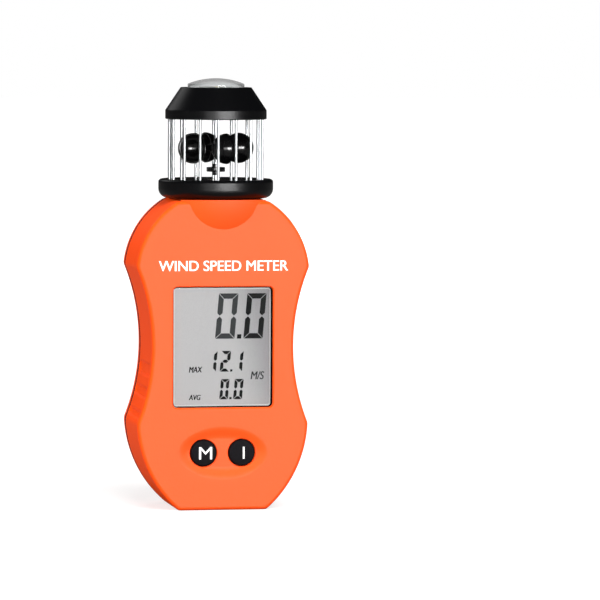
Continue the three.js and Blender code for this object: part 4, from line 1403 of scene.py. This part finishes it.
@dataclass
class Keys:
    """The two round keys, each with its letter."""

    radius: float = 3.5
    crown: float = 0.12
    edge: float = 0.35
    flange: float = 0.8
    flange_thick: float = 0.7
    flange_y: float = -11.4
    stem: float = 1.5
    letter_thick: float = 0.14
    letter_aside: float = 0.5
    keys: tuple = (
        ("mode", Body.MODE_KEY, "M", (3.5, 3.3)),
        ("power", Body.POWER_KEY, "I", (0.45, 3.2)),
    )

    def build(self, finishes: Finishes) -> None:
        """Makes each key on its own body."""
        for name, body, text, size in self.keys:
            low, high = box_mm(f"button_{name}")
            x, _, z = centre_mm(f"button_{name}")
            wide, back = self.radius + self.flange, self.flange_y
            corners = [
                (0, low.y, 0),
                (0.6 * self.radius, low.y + 0.15 * self.crown, 0),
                (self.radius - 0.02, low.y + self.crown, self.edge),
                (self.radius, back, 0),
                (wide, back, 0.1),
                (wide, back + self.flange_thick, 0.1),
                (self.stem, back + self.flange_thick, 0),
                (self.stem, high.y, 0.2),
                (0, high.y, 0),
            ]
            key = turned(f"{name}_key_cap", corners, centre=(x, 0, z), axis=Axis.Y)
            mount(key, body, "key_black", finishes.key, f"button_{name}")
            place = on_front(x + self.letter_aside, low.y + 0.02, z)
            letter = lettering(text, size, place, self.letter_thick)
            letter.name = f"{name}_key_letter"
            mount(letter, body, None, finishes.white_ink)


@dataclass
class Back:
    """What shows at the back: the screw-in battery cover and the four housing screws."""

    plug: float = 10.0
    thread: float = 11.3
    dent: float = 1.5
    rim_thick: float = 0.9
    groove_depth: float = 0.25
    slot_length: float = 14.0
    slot_width: float = 1.8
    slot_depth: float = 0.9
    head_radius: float = 2.1
    head_thick: float = 1.5
    shank: float = 0.95
    recess_reach: float = 1.35
    recess_width: float = 0.55
    recess_depth: float = 0.9

    def cover(self) -> Piece:
        """Makes the battery cover with a ring groove and a coin slot."""
        low, high = box_mm("battery_cover")
        z, back, rim = centre_mm("battery_cover")[2], high.y, (high.x - low.x) / 2
        dent, under, groove = back - self.dent, back - self.rim_thick, back - self.groove_depth
        corners = [(0, dent, 0), (self.plug, dent, 0), (self.plug, low.y, 0.1)]
        corners += [(self.thread, low.y, 0.2), (self.thread, under, 0), (rim, under, 0.05)]
        corners += [(rim, back, 0.25), (rim - 1.9, back, 0.15), (rim - 2.1, groove, 0.1)]
        corners += [(rim - 2.6, groove, 0.1), (rim - 2.8, back, 0.15), (0, back, 0)]
        cover = lathe("battery_cap", filleted(corners, 4), (0, 0, z), Axis.Y, 128)
        slot = rounded_rectangle(self.slot_length, self.slot_width, 0.89 * self.slot_width / 2)
        ends = ((back - self.slot_depth, 0), (back - 0.2, 0), (back - 0.05, 0.08), (back + 1, 0.25))
        cutter = [[(x * (1 + m / 7), y, z + s * (1 + m / 0.9)) for x, s in slot] for y, m in ends]
        return combine(cover, loft("slot", cutter), Join.CUT)

    def screw(self, name: str, node: str) -> Piece:
        """Makes one housing screw with a cross recess, at a CAD screw's place."""
        low, high = box_mm(node)
        x, _, z = centre_mm(node)
        top, under = high.y, high.y - self.head_thick
        corners = [(0, low.y, 0), (0.3, low.y, 0), (self.shank, low.y + 1, 0)]
        corners += [(self.shank, under, 0), (self.head_radius, under, 0.1)]
        corners += [(self.head_radius, top - 0.5, 0.4), (1.2, top - 0.02, 0.3), (0, top, 0)]
        screw = lathe(name, filleted(corners, 4), (x, 0, z), Axis.Y, 48)
        reach, half = self.recess_reach, self.recess_width / 2
        blade = [(-reach, -half), (reach, -half), (reach, half), (-reach, half)]
        for turn in (0, math.pi / 2):
            cos, sin = math.cos(turn), math.sin(turn)
            rings = []
            for y, share in ((top + 0.5, 1.1), (top - self.recess_depth, 0.7)):
                spun = [(a * share * cos - b * sin, a * share * sin + b * cos) for a, b in blade]
                rings.append([(x + a, y, z + b) for a, b in spun])
            combine(screw, loft("blade", rings), Join.CUT)
        return smooth(screw)

    def build(self, finishes: Finishes, repeater: Repeater) -> None:
        """Makes the cover and the screws."""
        mount(smooth(self.cover()), Body.COVER, "orange_abs", finishes.orange, "battery_cover")
        for row, numbers in (("upper", (1, 2)), ("lower", (3, 4))):
            nodes = [f"housing_screw_{number}" for number in numbers]
            near, far = (box_mm(node)[0].x for node in nodes)
            screw = self.screw(f"back_screws_{row}", nodes[0])
            repeater.run(screw, finishes.screw, 2, 0, 0, (far - near, 0, 0))
            mount(screw, Body.HOUSING, "screw_steel", None, *nodes)


@dataclass
class Head:
    """The collar, the guard of rods with its plates, and the cap over it."""

    rod_count: int = 16
    rod_circle: float = 12.5
    rod_radius: float = 0.375
    rod_first_deg: float = -6.35
    collar_top_round: float = 2.35
    collar_low_round: float = 2.65
    collar_bore: float = 7.0
    plate_bore: float = 2.05
    play: float = 0.1
    band: float = 2.4
    pocket: float = 8.3
    rim: float = 1.2

    def build(self, finishes: Finishes, repeater: Repeater) -> None:
        """Makes the collar, the plates, the rods and the cap."""
        low, high = box_mm("collar_ring")
        plate_low, plate_high = box_mm("base_plate")
        reach, seat = plate_high.x + self.play, plate_low.z - self.play
        collar = [(self.collar_bore, low.z, 0), (high.x, low.z, self.collar_low_round)]
        collar += [(high.x, high.z, self.collar_top_round), (reach, high.z, 0.2)]
        collar += [(reach, seat, 0), (self.collar_bore, seat, 0)]
        ring = smooth(lathe("collar", filleted(collar, 10), steps=160))
        mount(ring, Body.HOUSING, "black_satin", finishes.satin, "collar_ring")

        top_low, top_high = box_mm("cage_top_plate")
        floor = (plate_high.x, plate_low.z, plate_high.z, (0, 0, 0.15, 0.1))
        disc = turned("floor_plate", section(self.plate_bore, *floor), steps=128)
        mount(disc, Body.HOUSING, "black_gloss", finishes.gloss, "base_plate")
        roof = (top_high.x, top_low.z, top_high.z, (0.1, 0.15, 0, 0))
        disc = turned("roof_plate", section(self.plate_bore, *roof), steps=128)
        mount(disc, Body.HOUSING, "black_satin", finishes.satin, "cage_top_plate")

        foot, tip = box_mm("guard_rod_01")
        rod = section(0, self.rod_radius, foot.z, tip.z)
        rods = turned("guard_rods", rod, centre=(0, -self.rod_circle, 0), steps=20)
        repeater.run(rods, finishes.steel, self.rod_count, self.rod_first_deg)
        nodes = [f"guard_rod_{n:02d}" for n in range(1, self.rod_count + 1)]
        mount(rods, Body.HOUSING, "steel", None, *nodes)

        low, high = box_mm("head_cap")
        lip, roof_top = top_high.x + self.play, top_high.z + self.play
        floor = box_mm("compass_capsule")[0].z - self.play
        cap = [(0, roof_top, 0), (lip, roof_top, 0), (lip, low.z, 0.1), (high.x, low.z, 0.25)]
        cap += [(high.x, low.z + self.band, 0.5), (self.pocket + self.rim, high.z, 0.35)]
        cap += [(self.pocket, high.z, 0.25), (self.pocket, floor, 0), (0, floor, 0)]
        mount(turned("cap", cap, steps=160), Body.HOUSING, "black_satin", finishes.satin, "head_cap")


@dataclass
class Rotor:
    """Four half-ball wind cups on a hub, the shaft and the sensing magnet below."""

    cup_radius: float = 4.1
    cup_wall: float = 0.5
    cup_lip: float = 0.12
    cup_reach: float = 6.75
    cup_count: int = 4
    cup_steps: int = 18
    first_deg: float = 16.75
    arm_thick: float = 0.8
    arm_height: float = 1.6
    arm_root: float = 1.0
    arm_bite: float = 0.15
    hub_radius: float = 1.4
    hub_half: float = 1.3
    bore: float = 0.52
    shaft_radius: float = 0.5
    wheel_radius: float = 2.5
    wheel_hub: float = 0.95
    wheel_hub_rise: float = 0.9

    def cup(self, z: float) -> Piece:
        """Makes the first cup with its arm, on the -Y side, its dome towards -X."""
        outer, inner, lip = self.cup_radius, self.cup_radius - self.cup_wall, self.cup_lip
        angles = [math.pi / 2 * step / self.cup_steps for step in range(self.cup_steps)]
        profile = [(outer * math.sin(a), -outer * math.cos(a)) for a in angles]
        profile += [(outer, -lip), (outer - 0.3 * lip, -0.3 * lip), (outer - lip, 0)]
        profile += [(inner + lip, 0), (inner + 0.3 * lip, -0.3 * lip), (inner, -lip)]
        profile += [(inner * math.sin(a), -inner * math.cos(a)) for a in reversed(angles)]
        cup = lathe("cup_rotor_fine", profile, (0, -self.cup_reach, z), Axis.X, 56)
        start = -self.cup_reach + inner + self.arm_bite
        bar = rounded_rectangle(self.arm_thick, self.arm_height, 0.25, 3)
        middle = -self.arm_thick / 2
        rings = [[(middle + a, y, z + b) for a, b in bar] for y in (start, -self.arm_root)]
        return combine(cup, loft("arm", rings), Join.ADD)

    def build(self, finishes: Finishes, repeater: Repeater) -> None:
        """Makes the rotor, its shaft and its magnet."""
        z = centre_mm("cup_rotor")[2]
        cups = repeater.run(self.cup(z), finishes.gloss, self.cup_count, self.first_deg)
        ends = (z - self.hub_half, z + self.hub_half, (0, 0.25, 0.25, 0))
        hub = filleted(section(self.bore, self.hub_radius, *ends), 4)
        combine(cups, lathe("hub", hub, steps=48), Join.ADD)
        cups.name = "wind_cups"
        mount(smooth(cups, 30), Body.ROTOR, "black_gloss", finishes.gloss, "cup_rotor")

        low, high = box_mm("rotor_shaft")
        shaft = section(0, self.shaft_radius, low.z, high.z, (0, 0.1, 0.1, 0))
        mount(turned("shaft", shaft, steps=32), Body.ROTOR, "steel", finishes.steel, "rotor_shaft")

        low, high = box_mm("magnet_disc")
        under, over = low.z + self.wheel_hub_rise, high.z - self.wheel_hub_rise
        hub, rim = self.wheel_hub, self.wheel_radius
        disc = [(self.bore, low.z, 0), (hub, low.z, 0.1), (hub, under, 0), (rim, under, 0.15)]
        disc += [(rim, over, 0.15), (hub, over, 0), (hub, high.z, 0.1), (self.bore, high.z, 0)]
        wheel = turned("magnet_wheel", disc, steps=64)
        mount(wheel, Body.ROTOR, "black_gloss", finishes.gloss, "magnet_disc")


@dataclass
class Compass:
    """The liquid compass in the cap: clear capsule, black cup, green card and brass hub."""

    shoulder: float = 113.3
    shoulder_rise: float = 0.37
    dome: float = 1.5
    dome_steps: int = 16
    wall: float = 0.6
    cup_wall: float = 0.5
    cup_floor: float = 0.8
    bore: float = 0.5
    print_thick: float = 0.03
    print_sink: float = 0.005
    ticks: tuple = ((36, 4.95, 5.55, 0.12), (8, 4.7, 5.55, 0.2))
    points: tuple = ("N", "NE", "E", "SE", "S", "SW", "W", "NW")
    main_size: tuple = (1.25, 1.5)
    main_reach: float = 3.65
    between_size: tuple = (1.15, 0.7)
    between_reach: float = 4.0
    arrow: tuple = ((-0.55, 4.55), (0.55, 4.55), (0, 5.65))

    def arch(self, radius: float, base: float) -> list:
        """Returns (radius, z) points of a low dome from its rim to the axis."""
        ball = (radius**2 + self.dome**2) / (2 * self.dome)
        radii = [radius * (1 - step / self.dome_steps) for step in range(self.dome_steps + 1)]
        return [(r, base + self.dome - ball + math.sqrt(ball**2 - r**2)) for r in radii]

    def capsule(self) -> Piece:
        """Makes the clear capsule with its low dome."""
        low, high = box_mm("compass_capsule")
        outer, inner = high.x, high.x - self.wall
        profile = [*reversed(self.arch(inner, self.shoulder - self.wall))]
        profile += [(inner, low.z), (outer, low.z)]
        corner = [(outer, low.z, 0), (outer, self.shoulder, 0.3)]
        corner.append((outer - 1, self.shoulder + self.shoulder_rise, 0))
        profile += filleted(corner)[1:-1] + self.arch(outer, self.shoulder)[2:]
        return smooth(lathe("compass_dome", profile, steps=128), 40)

    def card_print(self, top: float, finish: Material, repeater: Repeater) -> Piece:
        """Makes the ticks and letters on the card.

        Args:
            top: The height that they stand on.
            finish: The ink.
            repeater: Repeats the ticks round the card.

        Returns:
            All of the print as one piece.
        """
        marks = []
        for count, inner, outer, width in self.ticks:
            low, high = (-width / 2, -outer, top), (width / 2, -inner, top + self.print_thick)
            marks.append(repeater.run(block("tick", low, high), finish, count))
        for number, text in enumerate(self.points):
            main = len(text) == 1
            size = self.main_size if main else self.between_size
            reach = self.main_reach if main else self.between_reach
            turn = Matrix.Rotation(-number * math.pi / 4, 4, "Z")
            place = turn @ Matrix.Translation((0, reach, top + self.print_thick / 2))
            marks.append(lettering(text, size, place, self.print_thick))
        return joined("card_print", marks)

    def build(self, finishes: Finishes, repeater: Repeater) -> None:
        """Makes the capsule, the cup, the card with its print, and the hub."""
        capsule = self.capsule()
        mount(capsule, Body.HOUSING, "clear_acrylic", finishes.capsule, "compass_capsule")

        low, high = box_mm("compass_base")
        inner, floor = high.x - self.cup_wall, low.z + self.cup_floor
        cup = [(0, low.z, 0), (high.x, low.z, 0.1), (high.x, high.z, 0.05)]
        cup += [(inner, high.z, 0.1), (inner, floor, 0.2), (0, floor, 0)]
        cup = turned("compass_cup", cup, steps=96)
        mount(cup, Body.HOUSING, "black_satin", finishes.satin, "compass_base")

        low, high = box_mm("compass_card")
        card = section(self.bore, high.x, low.z, high.z, (0, 0.1, 0.1, 0))
        card = turned("card", card, steps=96)
        mount(card, Body.COMPASS, "dial_green", finishes.green, "compass_card")
        top = high.z - self.print_sink
        marks = self.card_print(top, finishes.white_ink, repeater)
        mount(marks, Body.COMPASS, None, finishes.white_ink)
        top += self.print_thick
        ends = (top, top + self.print_thick)
        pointer = loft("card_pointer", [[(x, y, z) for x, y in self.arrow] for z in ends])
        mount(pointer, Body.COMPASS, None, finishes.red_ink)

        low, high = box_mm("compass_hub")
        flange, under = low.z + 0.35, high.z - 0.3
        hub = [(self.bore, low.z, 0), (high.x, low.z, 0.1), (high.x, flange, 0.1)]
        hub += [(0.95, flange + 0.15, 0.1), (0.8, high.z, 0.2), (0, high.z, 0)]
        hub += [(0, under, 0), (self.bore, under, 0)]
        hub = turned("card_hub", hub, steps=64)
        mount(hub, Body.COMPASS, "brass", finishes.brass, "compass_hub")


@dataclass
class Inside:
    """The CAD parts that stay as they are, listed under the finish that each is given."""

    rubber: tuple = ("zebra_strip_upper", "zebra_strip_lower", "battery_cover_seal")
    panel: tuple = ("lcd_panel",)
    board: tuple = ("circuit_board",)
    inner: tuple = ("switch_mode", "switch_power", "battery_holder", "hall_sensor")
    cell: tuple = ("coin_cell", "negative_contact", "positive_contact")
    screw: tuple = ("collar_screw_1", "collar_screw_2", "compass_magnet")
    steel: tuple = ("compass_pin",)
    brass: tuple = ("lower_bearing", "upper_bearing")

    def build(self, finishes: Finishes) -> None:
        """Gives every remaining CAD node its material."""
        for kind, nodes in vars(self).items():
            finish = getattr(finishes, kind)
            for name in nodes:
                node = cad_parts[name]
                for slot in node.material_slots:
                    slot.material = finish
                if not node.material_slots:
                    node.data.materials.append(finish)
                LOG.info("%s keeps its CAD shape in %s", name, finish.name)


# ---- Studio ----


@dataclass(frozen=True)
class Lamp:
    """A soft box that faces the meter.

    Its bearing goes from the front towards +X, its size is in metres, and its light is what it
    throws on the meter, where 1 shows white as white.
    """

    name: str
    bearing_deg: float
    height_deg: float
    size: tuple
    light: float
    shown: Shown
    distance: float = 1.6

    def build(self, target: Vector) -> None:
        """Makes the lamp, aimed at a point in metres."""
        bearing, height = math.radians(self.bearing_deg), math.radians(self.height_deg)
        level = math.cos(height)
        away = Vector((math.sin(bearing) * level, -math.cos(bearing) * level, math.sin(height)))
        data = bpy.data.lights.new(self.name, "AREA")
        data.shape = "RECTANGLE"
        data.size, data.size_y = self.size
        data.energy = self.light * (math.pi * self.distance) ** 2
        lamp = placed(self.name, data)
        lamp.location = target + away * self.distance
        lamp.rotation_euler = (-away).to_track_quat("-Z", "Y").to_euler()
        lamp.visible_diffuse, lamp.visible_glossy = self.shown.value
        lamp.visible_camera = self.shown is not Shown.REFLECTION


@dataclass
class Studio:
    """A pale floor, soft lamps and a long-lens camera."""

    yaw_deg: float = 10.54
    pitch_deg: float = 3.66
    roll_deg: float = 0.27
    distance: float = 1176.0
    target: tuple = (0.0, 0.0, 57.0)
    aside: float = 22.74
    below: float = 1.70
    lens: float = 262.7
    sensor: float = 36.0
    room: float = 0.015
    ceiling: float = 1.38
    ceiling_wide_deg: float = 40.0
    ceiling_height_deg: float = 52.0
    ceiling_aside_deg: float = 12.0
    floor_glow: float = 0.72
    floor_half: float = 6000.0
    floor_thick: float = 20.0
    floor_gap: float = 0.02
    lamps: tuple = (
        Lamp("key", 14, 4, (1.0, 0.35), 0.95, Shown.BOTH),
        Lamp("side", -75, 12, (0.5, 0.5), 1.0, Shown.LIGHT),
        Lamp("back", 160, 15, (0.6, 0.6), 0.6, Shown.LIGHT),
        Lamp("wide_card", 4, 4, (2.3, 0.45), 0.6, Shown.REFLECTION),
        Lamp("left_card", -145, 31, (0.8, 0.8), 0.07, Shown.REFLECTION),
    )

    def camera(self) -> None:
        """Sets the camera to the left of the front and a little above, aimed right of the meter."""
        yaw, pitch, roll = (math.radians(a) for a in (self.yaw_deg, self.pitch_deg, self.roll_deg))
        level = math.cos(pitch)
        back = Vector((-math.sin(yaw) * level, -math.cos(yaw) * level, math.sin(pitch)))
        right = Vector((math.cos(yaw), -math.sin(yaw), 0))
        up = back.cross(right)
        across = right * math.cos(roll) + up * math.sin(roll)
        rise = up * math.cos(roll) - right * math.sin(roll)
        aim = Vector(self.target) + across * self.aside - rise * self.below
        data = bpy.data.cameras.new("camera")
        data.lens, data.sensor_width = self.lens, self.sensor
        camera = placed("camera", data)
        turn = Matrix((across, rise, back)).transposed().to_4x4()
        camera.matrix_world = Matrix.Translation((aim + back * self.distance) * MM) @ turn
        bpy.context.scene.camera = camera

    def floor(self) -> None:
        """Makes a wide pale floor with a faint mottle, darker where it lights the meter."""
        half = self.floor_half
        slab = block("floor", (-half, -half, -self.floor_thick), (half, half, -self.floor_gap))
        material, tree, surface, where = blank_material("painted_board")
        mottle = add_node(tree, "ShaderNodeTexNoise", {"Scale": 8.0, "Detail": 3.0}, {"Vector": where})
        seen = add_node(tree, "ShaderNodeLightPath").outputs["Is Camera Ray"]
        ends = {MIX_A: linear("#9C9B9A"), MIX_B: linear("#A3A2A1")}
        links = {MIX_SHARE: mottle.outputs[0]}
        near = add_node(tree, "ShaderNodeMix", ends, links, data_type="RGBA")
        ends, links = {MIX_A: linear("#5C5B5A")}, {MIX_SHARE: seen, MIX_B: near.outputs[MIX_RESULT]}
        colour = add_node(tree, "ShaderNodeMix", ends, links, data_type="RGBA")
        tree.links.new(colour.outputs[MIX_RESULT], surface.inputs["Base Color"])
        surface.inputs["Roughness"].default_value = 0.9
        surface.inputs["Specular IOR Level"].default_value = 0.0
        surface.inputs["Emission Color"].default_value = linear("#FFFFFF")
        glow = add_node(tree, "ShaderNodeMath", {1: self.floor_glow}, {0: seen}, operation="MULTIPLY")
        tree.links.new(glow.outputs[0], surface.inputs["Emission Strength"])
        slab.data.materials.append(material)

    def surround(self) -> None:
        """Makes the white surround, which is dim to everything but the camera."""
        world = bpy.data.worlds.new("studio")
        world.use_nodes = True
        tree = world.node_tree
        sky = tree.nodes["Background"]
        sky.inputs["Color"].default_value = linear("#FFFFFF")
        seen = add_node(tree, "ShaderNodeLightPath").outputs["Is Camera Ray"]
        strength = add_node(tree, "ShaderNodeMath", {1: self.room}, {0: seen}, operation="MAXIMUM")
        tree.links.new(strength.outputs[0], sky.inputs["Strength"])
        bpy.context.scene.world = world

    def build(self) -> None:
        """Sets up the floor, the light and the camera."""
        self.camera()
        self.floor()
        self.surround()
        for lamp in self.lamps:
            lamp.build(Vector(self.target) * MM)
        sun = bpy.data.lights.new("ceiling", "SUN")
        sun.energy = self.ceiling * math.pi
        sun.angle = math.radians(self.ceiling_wide_deg)
        over = placed("ceiling", sun)
        tilt = math.radians(90 - self.ceiling_height_deg)
        over.rotation_euler = (tilt, 0, math.radians(self.ceiling_aside_deg))
        over.visible_glossy = False


def main() -> None:
    """Builds the meter's looks, then its studio."""
    logging.basicConfig(level=logging.INFO, format="%(message)s")
    bpy.context.scene.view_settings.view_transform = "Standard"
    finishes, repeater = Finishes(), Repeater()
    Housing().build(finishes)
    Display().build(finishes)
    Keys().build(finishes)
    Back().build(finishes, repeater)
    Head().build(finishes, repeater)
    Rotor().build(finishes, repeater)
    Compass().build(finishes, repeater)
    Inside().build(finishes)
    Studio().build()
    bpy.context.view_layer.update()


if __name__ == "__main__":
    main()
